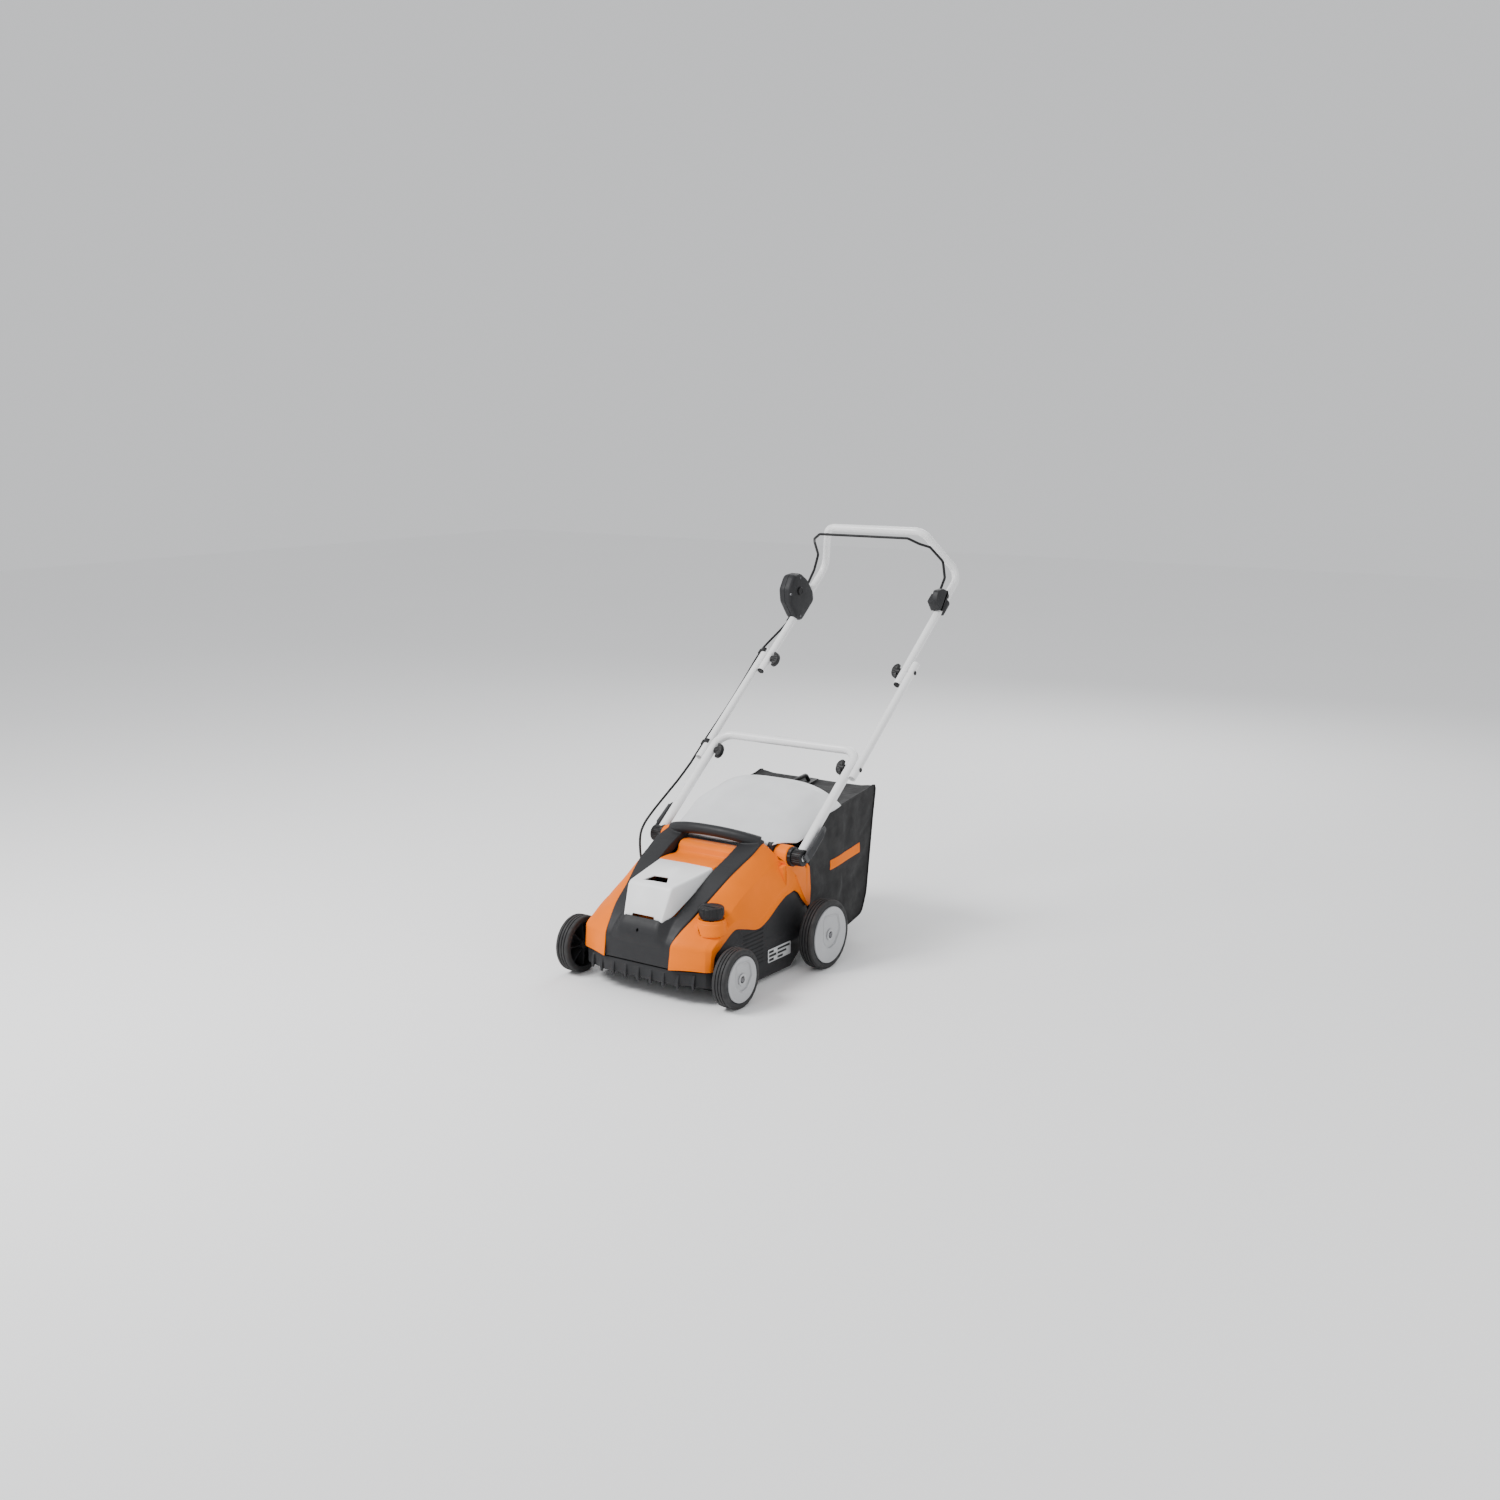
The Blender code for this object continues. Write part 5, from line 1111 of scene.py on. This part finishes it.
def flap_skin():
    """The flap bowed across its width, with a raised field in its middle and a turned down rear edge."""
    rows = []
    for y, half_x, centre, edge in (tuple(p) for p in curve_through(FLAP_ROWS, 7)):
        row = []
        for k in range(49):
            t = -1 + k / 24
            sag = (edge - centre) * abs(t) ** 3.2
            step = PLATEAU * smooth_step((0.74 - abs(t)) / 0.05) * smooth_step((y - 0.305) / 0.02)
            step *= smooth_step((0.462 - y) / 0.010)
            turned_down = 0.0012 * smooth_step((y - 0.45) / 0.02)
            row.append(at(half_x * t, y, centre + sag - 0.0006 + step - turned_down))
        rows.append(row)
    skin = grid(rows)
    return thickened(skin, FLAP_THICKNESS, middle_face(skin), (0, 0, 1))


def make_rear_flap():
    """The flap with its two knuckles on one hinge pin."""
    flap = flap_skin()
    knuckles = [prism(KNUCKLE, "x", x - 0.010, x + 0.010) for x in (-0.1200, 0.1200)]
    pin = cross_rod(-0.1550, 0.1550, at(0, FLAP_PIN_Y, FLAP_PIN_Z), 0.0030, 20)
    round_edges(join(flap, *knuckles, pin), 0.0007, 2, 40)
    stand_for(flap, "rear_flap", 40, "flap_plastic")


# ---------------------------------------------------------------- handle
def arced(points, radius, steps):
    """The route with true arcs of one radius at its inner corners."""
    route = [Vector(points[0])]
    for before, corner, after in zip(points, points[1:], points[2:]):
        back = (Vector(before) - corner).normalized()
        ahead = (Vector(after) - corner).normalized()
        half = back.angle(ahead) / 2
        middle = corner + (back + ahead).normalized() * radius / math.sin(half)
        start = corner + back * radius / math.tan(half) - middle
        end = corner + ahead * radius / math.tan(half) - middle
        turn = start.angle(end)
        for k in range(steps + 1):
            t = k / steps
            spread = start * math.sin(turn * (1 - t)) + end * math.sin(turn * t)
            route.append(middle + spread / math.sin(turn))
    route.append(Vector(points[-1]))
    return route


def lower_route():
    corner = leg(0, LOWER_BAR_L)
    foot = PIVOT_L + 0.006
    points = [leg(LOWER_X, foot), across(LOWER_X, corner), across(-LOWER_X, corner), leg(-LOWER_X, foot)]
    return arced(points, 0.045, 12)


def upper_route():
    up_leg = Vector((0, math.cos(HANDLE_ANGLE), math.sin(HANDLE_ANGLE)))
    kink = leg(UPPER_X, 1.0727)
    top = at(0.1598, 0.9750, 1.1020)
    points = [leg(UPPER_X, 0.632), kink + up_leg * 0.004, top, across(-top.x, top),
              across(-kink.x, kink) + up_leg * 0.004, leg(-UPPER_X, 0.632)]
    return arced(points, 0.038, 10)


def make_tubes():
    """The handle's four bent or straight tubes, with eyes at the feet and plugs in the upper one's ends."""
    lower = pipe(lower_route(), LOWER_R, TUBE_WALL, 32)
    for side in (-1, 1):
        centre = leg(side * LOWER_X, PIVOT_L)
        eye = rod(centre - Vector((0.0123, 0, 0)), centre + Vector((0.0123, 0, 0)), 0.0165, 48, 0.0014)
        join(lower, eye)
    stand_for(lower, "lower_handle", 36)
    for word, side in SIDES:
        route = [leg(side * MID_X, 0.285), leg(side * MID_X, 0.5), leg(side * MID_X, 0.715)]
        stand_for(pipe(route, TUBE_R, TUBE_WALL, 32), f"mid_tube_{word}", 36)
    stand_for(pipe(upper_route(), TUBE_R, TUBE_WALL, 32, 0.0025), "upper_handle", 36)
    for word, side in SIDES:
        plug = rod(leg(side * UPPER_X, 0.6290), leg(side * UPPER_X, 0.6350), 0.0101, 28, 0.0012)
        fitting(plug, f"tube_plug_{word}", "black_plastic", "upper_handle")


def make_wire_bail():
    """The bent wire bail between its two pins, in front of the grip bar."""
    axis = leg(0, *BAIL_AXIS)
    points = [across(0.2380, axis), across(0.2235, axis), at(0.2225, 0.9980, 0.9710),
              at(0.2123, 1.0040, 1.0170), at(0.1957, 0.9566, 1.0600), at(0.1765, 0.9275, 1.0706),
              at(0.1482, 0.9110, 1.0860)]
    other = [across(-p.x, p) for p in reversed(points)]
    route = filleted(points + other, 0.016, 7)
    stand_for(swept(route, BAIL_R, 18), "switch_bail", 40)


def leg_outline(corners, radius):
    """A rounded loop given by distances along and off the leg, as the design's own Y and Z."""
    places = [leg(0, p.x, p.y) for p in rounded_loop(corners, radius, 7)]
    return [(p.y - Y_SHIFT, p.z) for p in places]


NUT_R = 0.0214


def winged_knob(word, side, along, inner_x, node):
    """A half-round hand nut with ribbed faces; its bolt runs through both tubes to a domed head."""
    centre = leg(0, along)
    face = inner_x - 0.0005
    outer = MID_X + TUBE_R
    half = 0.0080
    turn = math.radians(62)

    def placed(x, a, b):
        y = centre.y + a * math.cos(turn) - b * math.sin(turn)
        return Vector((side * x, y, centre.z + a * math.sin(turn) + b * math.cos(turn)))

    rows = []
    layers = ((-half, 0.86), (-0.0074, 0.95), (-0.0060, 1.0), (0.0060, 1.0), (0.0074, 0.95), (half, 0.86))
    for b, grow in layers:
        row = []
        for k in range(49):
            angle = math.pi * k / 48
            notch = 1.0 - 0.040 * (math.cos(30 * angle) > 0.1) * (0.15 < angle < math.pi - 0.15)
            x = face - 0.0088 - 0.0174 * math.sin(angle) * grow * notch
            row.append(placed(x, NUT_R * math.cos(angle) * grow, b))
        rows.append(row)
    wings = grid(rows, closed=True, caps=True)
    ribs = []
    for number in range(-2, 3):
        a = 0.0068 * number
        reach = 0.0135 * math.sqrt(1 - (a / NUT_R) ** 2)
        for b in (-half, half):
            ribs.append(rod(placed(face - 0.0110, a, b), placed(face - 0.0100 - reach, a, b), 0.0011, 10))
    hub = cross_rod(side * face, side * (face - 0.0145), centre, 0.0095, 32, 0.0010)
    shank = cross_rod(side * (face - 0.010), side * (outer + 0.001), centre, 0.0033, 20)
    head = cross_rod(side * (outer + 0.0001), side * (outer + 0.0022), centre, 0.0064, 28, 0.0010)
    stand_for(join(wings, hub, shank, head, *ribs), node, 30)


CLAMP_R = 0.0218
TOOTH_DEPTH = 0.0013
RECESS_X = 0.2404
LEVER_X = 0.2478
BLADE_IN_X = 0.2466
BLADE_OUT_X = 0.2510


def clamp_body(word, side):
    """The toothed black clamp round the leg's eye, with a recess for the head of the pivot bolt."""
    rows = []
    for x, trim in ((0.21590, 0.0010), (0.21640, 0.0), (0.24310, 0.0), (0.24380, 0.0010)):
        row = []
        for k in range(120):
            angle = math.tau * k / 120
            tooth_gap = TOOTH_DEPTH if k % 5 < 2 else 0.0
            radius = CLAMP_R - trim - tooth_gap
            y = PIVOT.y + radius * math.cos(angle)
            row.append(Vector((side * x, y, PIVOT.z + radius * math.sin(angle))))
        rows.append(row)
    body = grid(rows, closed=True, caps=True)
    room = cross_rod(side * RECESS_X, side * 0.250, PIVOT, 0.0102, 36)
    eye = cross_rod(side * 0.2100, side * RECESS_X, PIVOT, 0.0150, 36)
    fitting(cut(body, room, eye), f"clamp_body_{word}", "black_plastic", "lower_handle", 30)


LEVER_SIDE = [(-0.0028, -0.0150), (0.030, -0.0212), (0.092, -0.0205), (0.1120, -0.0130),
              (0.1130, -0.0020), (0.098, 0.0047), (0.030, 0.0088), (-0.0028, 0.0100)]


def clamp_lever(word, side):
    """The broad lever on the clamp: a thin bowed blade with lengthwise ribs and a thick rolled edge."""
    centre = leg(side * LEVER_X, PIVOT_L)
    off = (leg(0, 0, 1.0) - leg(0, 0)).normalized()
    cam = rod(centre - off * 0.0160, centre + off * 0.0100, 0.0034, 24)
    outline = leg_outline([(PIVOT_L + a, b) for a, b in LEVER_SIDE], 0.010)
    blade = prism(outline, "x", *sorted((side * BLADE_IN_X, side * BLADE_OUT_X)))
    round_edges(blade, 0.0012, 2, 40)
    ribs = []
    for number in range(6):
        b = -0.0165 + 0.0044 * number
        start = leg(side * 0.2512, PIVOT_L + 0.010, b)
        end = leg(side * 0.2512, PIVOT_L + 0.101 - 0.0015 * abs(number - 2.5), b)
        ribs.append(rod(start, end, 0.0013, 10))
    rim_start = leg(side * 0.2508, PIVOT_L + 0.030, 0.0078)
    rim_end = leg(side * 0.2508, PIVOT_L + 0.100, 0.0030)
    rim = rod(rim_start, rim_end, 0.0030, 16, 0.0020)
    stand_for(join(blade, cam, rim, *ribs), f"clamp_lever_{word}", 34, "lever_plastic")


def make_handle_hardware():
    """Hand nuts, clamps, levers, pivots, clips and the catcher's grip."""
    for word, side in SIDES:
        winged_knob(word, side, LOWER_BOLT_L, LOWER_X - LOWER_R, f"knob_lower_{word}")
        winged_knob(word, side, UPPER_BOLT_L, UPPER_X - TUBE_R, f"knob_upper_{word}")
        clamp_body(word, side)
        clamp_lever(word, side)
        for node in (f"pivot_disc_{word}", f"pivot_bolt_{word}"):
            rounded_node(node, 0.0008, 3)
    for node, width in (("cable_clip_lower", 0.0006), ("cable_clip_upper", 0.0006), ("catcher_grip", 0.0010)):
        rounded_node(node, width)


SWITCH_EAR = [(0.945, 0.012), (0.9660, 0.0160), (0.9770, 0.0330), (0.9640, 0.0520), (0.945, 0.057)]
SWITCH_SCREWS = ((0.8640, 0.0870), (0.9300, 0.0920), (0.9430, 0.0040), (0.8600, 0.0030))
LEAD_X = -0.2437
SPLIT_GAP = 0.00015
SWITCH_SIDE = [(0.9120, 0.1185), (0.9440, 0.0980), (0.9580, 0.0600), (0.9585, 0.0100), (0.9460, -0.0150),
               (0.8560, -0.0165), (0.8470, 0.0100), (0.8480, 0.0700), (0.8680, 0.1030)]


def switch_body(low, high, lip):
    """A crowned half of the box: its outline shrinks a little towards the outside."""
    outline = leg_outline(SWITCH_SIDE, 0.024)
    centre = leg(0, 0.9020, 0.0500)
    rows = []
    for share, shrink in ((0.0, 0.985), (0.04, 1.0), (0.55, 1.0), (0.80, 0.975), (0.93, 0.93), (1.0, 0.85)):
        x = low + (high - low) * share
        row = []
        for y, z in outline:
            y = centre.y - Y_SHIFT + (y - centre.y + Y_SHIFT) * shrink
            row.append(at(x, y, centre.z + (z - centre.z) * shrink))
        rows.append(row)
    boss = cross_rod(low, high + lip, leg(0, 0.9020, 0.0560), 0.0235, 64, 0.0016)
    return join(grid(rows, closed=True, caps=True), boss)


def tube_room():
    """The way of the handle's left leg through the box."""
    return rod(leg(-UPPER_X, 0.80), leg(-UPPER_X, 1.00), TUBE_R + 0.0003, 32)


def make_outer_switch_half():
    """The half beyond the tube, with the bail's ear and the cable's gland."""
    pin = leg(0, *BAIL_AXIS)
    ear = prism(leg_outline(SWITCH_EAR, 0.008), "x", -0.2480, -UPPER_X - 0.0012)
    outer = join(switch_body(-UPPER_X - SPLIT_GAP, -0.2500, -0.0012), round_edges(ear, 0.0012))
    join(outer, rod(leg(LEAD_X, 0.8400, -0.0030), leg(LEAD_X, 0.8560, -0.0030), 0.0060, 28))
    bore = cross_rod(-0.2458, -0.2100, pin, 0.0040, 20)
    lead = rod(leg(LEAD_X, 0.80, -0.0030), leg(LEAD_X, 0.8530, -0.0030), CABLE_R + 0.0002, 20)
    cut(outer, tube_room(), bore, lead, box((-0.2289, 0.8, 0.7), (-0.2, 1.05, 1.05)))
    stand_for(outer, "switch_housing_outer", 34)


def make_inner_switch_half():
    """The half inside the tube, with its screws and the lock button in its well."""
    inner = switch_body(-UPPER_X + SPLIT_GAP, -0.2070, 0.0)
    button = leg(0, 0.9030, 0.0640)
    cut(inner, tube_room(), cross_rod(-0.2160, -0.2, button, 0.0125, 40))
    stand_for(inner, "switch_housing_inner", 34)
    for number, (along, off) in enumerate(SWITCH_SCREWS):
        place = leg(0, along, off)
        head = cross_rod(-0.2110, -0.2062, place, 0.0036, 24, 0.0006)
        socket = cross_rod(-0.2076, -0.2050, place, 0.0016, 6, 0.0001)
        fitting(cut(head, socket), f"switch_screw_{number + 1}", "dark_steel", "switch_housing_inner")
    cap = cross_rod(-0.2110, -0.2020, button, 0.0120, 48, 0.0014)
    dish = cross_rod(-0.2026, -0.1990, button, 0.0078, 40, 0.0002)
    stand_for(cut(cap, dish), "lock_button", 34)


# ---------------------------------------------------------------- cable
def make_cable():
    """Three lengths from the housing up the left leg to the switch box, each blended over one fold."""
    first_join, second_join = (leg(CABLE_X, along) for along in CABLE_JOINS_L)
    low = [at(-0.1890, 0.1180, 0.2520), at(-0.2080, 0.1290, 0.2740), at(-0.2290, 0.1540, 0.3160),
           at(-0.2480, 0.1950, 0.3400), at(-0.2640, 0.2560, 0.3640), at(-0.2690, 0.3300, 0.4020),
           at(-0.2690, 0.3800, 0.4310), first_join]
    lower = swept(curve_through(low, 8), CABLE_R, 14)
    middle = [first_join, leg(CABLE_X, 0.2760), leg(CABLE_X, 0.3000), leg(CABLE_X, 0.3280)]
    for k in range(11):
        sag = -0.0045 * math.sin(math.pi * k / 10)
        middle.append(leg(CABLE_X, 0.3560 + 0.3160 * k / 10, sag))
    middle = swept(curve_through(middle + [second_join], 4), CABLE_R, 14)
    high = [second_join, leg(CABLE_X, 0.7160), leg(-0.2640, 0.7500, -0.0020),
            leg(-0.2520, 0.8000, -0.0035), leg(-0.2440, 0.8340, -0.0030), leg(LEAD_X, 0.8500, -0.0030)]
    upper = swept(curve_through(high, 8), CABLE_R, 14)
    joints = ((lower, "cable_lower", "chassis", "lower_handle", at(-0.21, 0.130, 0.28), leg(CABLE_X, 0.10)),
              (middle, "cable_mid", "lower_handle", "mid_handle", leg(CABLE_X, 0.290), leg(CABLE_X, 0.345)),
              (upper, "cable_upper", "mid_handle", "upper_handle", leg(CABLE_X, 0.714), leg(CABLE_X, 0.820)))
    for obj, node, first, second, start, end in joints:
        shaded(obj, 40)
        obj.name = node + "_skin"
        paint(obj, "cable_rubber")
        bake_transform(obj, first, second, start=start, end=end)
        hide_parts(node)
    sleeve = [at(-0.1860, 0.1163, 0.2484), at(-0.1905, 0.1188, 0.2540), at(-0.1960, 0.1219, 0.2603),
              at(-0.2010, 0.1248, 0.2660)]
    gland = swept(sleeve, [0.0069, 0.0068, 0.0052, 0.0040], 24)
    fitting(gland, "cable_grommet", "black_plastic", "side_panel_left")


# ---------------------------------------------------------------- catcher bag
# The bag's side from the mouth's foot round the rear to the mouth's top.
BAG_MOUTH_Y = 0.3443
BAG_SIDE = [(BAG_MOUTH_Y, 0.1020), (0.4000, 0.0740), (0.5410, 0.0470), (0.6140, 0.0640), (0.6380, 0.1180),
            (0.6690, 0.3335), (0.6850, 0.4240), (0.6400, 0.4125), (0.5920, 0.4065), (0.5000, 0.3930),
            (0.4300, 0.3750), (BAG_MOUTH_Y, 0.3460)]
BAG_HALF_X = 0.1890
BAG_WALL = 0.0016
BAG_MIDDLE = Vector((0.500, 0.240, 0))
CREASE_ANGLE = 1.2
CLOTH = {
    "quality": 5, "mass": 0.25, "tension_stiffness": 22, "compression_stiffness": 22, "shear_stiffness": 9,
    "bending_stiffness": 1.6, "vertex_group_mass": "held", "shrink_min": -0.010, "use_pressure": True,
    "uniform_pressure_force": 0.12,
}
CLOTH_GRAVITY = 0.25
CLOTH_FRAMES = 26
# No point moves further than the limit, and sideways out of the bag it moves only by a share of its way.
MOVE_LIMIT = 0.0042
OUTWARD_SHARE = 0.4
HELD_TO_Y = 0.3460
SEAM_REACH = 0.0012


def bag_seam_points(count):
    """Points along the bag's side outline, evenly spaced, from the mouth's foot round to its top."""
    line = filleted([Vector((a, b, 0)) for a, b in BAG_SIDE], 0.028, 5)
    lengths = [0.0]
    for a, b in zip(line, line[1:]):
        lengths.append(lengths[-1] + (b - a).length)
    made = []
    for k in range(count):
        want = lengths[-1] * k / (count - 1)
        i = max(i for i in range(len(lengths) - 1) if lengths[i] <= want + 1e-12)
        share = (want - lengths[i]) / (lengths[i + 1] - lengths[i])
        made.append(line[i].lerp(line[i + 1], share))
    return made


def fill_side(shape, seam_row, x, layers):
    """Fills one side wall in rings that shrink from its seam and the mouth's edge to a middle point."""
    foot = seam_row[0].co.z
    top = seam_row[-1].co.z
    mouth = [shape.verts.new(at(x, BAG_MOUTH_Y, foot + (top - foot) * k / 24)) for k in range(1, 24)]
    loop = seam_row + mouth[::-1]
    flat = [Vector((v.co.y - Y_SHIFT, v.co.z, 0)) for v in loop]
    for layer in range(1, layers):
        share = 1 - layer / layers
        inner = [shape.verts.new(at(x, *(BAG_MIDDLE.lerp(p, share)).to_2d())) for p in flat]
        for i in range(len(loop)):
            j = (i + 1) % len(loop)
            shape.faces.new((loop[i], loop[j], inner[j], inner[i]))
        loop = inner
    hub = shape.verts.new(at(x, BAG_MIDDLE.x, BAG_MIDDLE.y))
    for i in range(len(loop)):
        shape.faces.new((loop[i], loop[(i + 1) % len(loop)], hub))


def bag_shell(rows, columns, layers):
    """A strip round the outline and two side walls that share its seams."""
    shape = bmesh.new()
    stations = [BAG_HALF_X * (-1 + 2 * k / columns) for k in range(columns + 1)]
    strip = [[shape.verts.new(at(x, point.x, point.y)) for x in stations] for point in bag_seam_points(rows)]
    for one, two in zip(strip, strip[1:]):
        for k in range(columns):
            shape.faces.new((one[k], one[k + 1], two[k + 1], two[k]))
    for end in (0, columns):
        fill_side(shape, [row[end] for row in strip], stations[end], layers)
    bmesh.ops.recalc_face_normals(shape, faces=shape.faces)
    creases = shape.edges.layers.float.new("crease_edge")
    for edge in shape.edges:
        if len(edge.link_faces) == 2 and edge.calc_face_angle(0.0) > CREASE_ANGLE:
            edge[creases] = 1.0
    mesh = bpy.data.meshes.new("bag")
    shape.to_mesh(mesh)
    shape.free()
    return link(mesh, "bag")


BAG_OUTLINE = bag_seam_points(120)


def near_outline(y, z):
    """Whether a point of a side wall lies on the seam round it."""
    here = Vector((y, z, 0))
    for a, b in zip(BAG_OUTLINE, BAG_OUTLINE[1:]):
        way = b - a
        t = min(1.0, max(0.0, (here - a).dot(way) / way.length_squared))
        if (a + way * t - here).length < SEAM_REACH:
            return True
    return False


def settle_bag(bag):
    """Hangs the cloth from its mouth and seams, a little loose, and lets it find its folds."""
    rest = np.array([v.co for v in bag.data.vertices])
    held = bag.vertex_groups.new(name="held")
    for vertex in bag.data.vertices:
        x, y, z = vertex.co
        at_mouth = y < Y_SHIFT + HELD_TO_Y
        at_seam = abs(abs(x) - BAG_HALF_X) < 1e-5 and near_outline(y - Y_SHIFT, z)
        if at_mouth or at_seam:
            held.add([vertex.index], 1.0, "REPLACE")
    cloth = bag.modifiers.new("Cloth", "CLOTH")
    for name, value in CLOTH.items():
        setattr(cloth.settings, name, value)
    cloth.settings.effector_weights.gravity = CLOTH_GRAVITY
    scene = bpy.context.scene
    cloth.point_cache.frame_start = 1
    cloth.point_cache.frame_end = CLOTH_FRAMES
    for step in range(1, CLOTH_FRAMES + 1):
        scene.frame_set(step)
    settled(bag)
    scene.frame_set(1)
    moved = np.array([v.co for v in bag.data.vertices]) - rest
    size = np.linalg.norm(moved, axis=1, keepdims=True)
    moved *= np.where(size > MOVE_LIMIT, MOVE_LIMIT / np.maximum(size, 1e-9), 1.0)
    outward = moved[:, 0] * rest[:, 0] > 0
    moved[:, 0] *= np.where(outward, OUTWARD_SHARE, 1.0)
    for vertex, place in zip(bag.data.vertices, rest + moved):
        vertex.co = place
    return bag


def crease_bag(bag):
    """Soft dents and drawn folds that a sewn box of coated cloth keeps."""
    for vertex in bag.data.vertices:
        place = vertex.co.copy()
        fold = noise.noise(Vector((place.x * 9, place.y * 16, place.z * 7)))
        fine = noise.noise(Vector((place.x * 31, place.y * 28, place.z * 24)))
        near = min(1.0, max(0.0, (place.y - Y_SHIFT - 0.350) / 0.05))
        vertex.co = place + vertex.normal * (0.0022 * fold + 0.0007 * fine - 0.0012) * near
    return bag


def make_bag():
    bag = settle_bag(bag_shell(110, 40, 12))
    crease_bag(bag)
    modified(bag, "SUBSURF", levels=1, render_levels=1)
    modified(bag, "SOLIDIFY", thickness=BAG_WALL, offset=-1)
    stand_for(bag, "catcher_bag", 60)
    make_bag_trim(bag)


# The band's section: how far each point stands off the cloth, and its height from the band's middle.
BAND_SECTION = ((-0.0004, -0.0130), (0.0010, -0.0133), (0.0012, -0.0080), (0.0012, 0.0), (0.0012, 0.0080),
                (0.0010, 0.0133), (-0.0004, 0.0130))
BAND_START_Y = 0.452
BAND_START_Z = 0.2350
BAND_STEP = 0.0025
BAND_CLIMB = 0.00033
MOUTH_LOOP = [(-0.1885, 0.110), (-0.1885, 0.340), (-0.182, 0.3462), (0.182, 0.3462), (0.1885, 0.340),
              (0.1885, 0.110), (0.182, 0.1035), (-0.182, 0.1035)]


def make_bag_trim(cloth):
    """Piping along both side seams, a bound mouth, and a plain orange band on each side."""
    shape = bmesh.new()
    shape.from_mesh(cloth.data)
    surface = BVHTree.FromBMesh(shape)
    shape.free()
    for word, side in SIDES:
        route = [at(side * (BAG_HALF_X + 0.0004), p.x, p.y) for p in bag_seam_points(90)]
        fitting(swept(route, 0.0021, 10), f"bag_piping_{word}", "bag_fabric", "catcher_bag", 60)
        rows = []
        for k in range(61):
            y = BAND_START_Y + BAND_STEP * k
            row = []
            for lift, up in BAND_SECTION:
                z = BAND_START_Z + BAND_CLIMB * k + up
                place = surface.ray_cast(at(side * 0.26, y, z), Vector((-side, 0, 0)))[0]
                row.append(place + Vector((side * lift, 0, 0)))
            rows.append(row)
        fitting(grid(rows, closed=True, caps=True), f"bag_band_{word}", "orange_plastic", "catcher_bag", 50)
    mouth = [at(x, 0.3452, z) for x, z in MOUTH_LOOP + MOUTH_LOOP[:1]]
    fitting(swept(mouth, 0.0020, 10), "bag_binding", "bag_fabric", "catcher_bag", 60)


# ---------------------------------------------------------------- the whole machine
make_side_panels()
make_centre_cover()
make_battery_lid()
rounded_node("battery_tray", 0.0030, 3)
make_chassis()
make_louvre_shadows()
make_rating_plate_print()
make_wheels()
make_depth_knob()
make_rear_flap()
make_tubes()
make_wire_bail()
make_handle_hardware()
make_outer_switch_half()
make_inner_switch_half()
rounded_node("bail_bracket", 0.0025, 3)
make_cable()
make_bag()
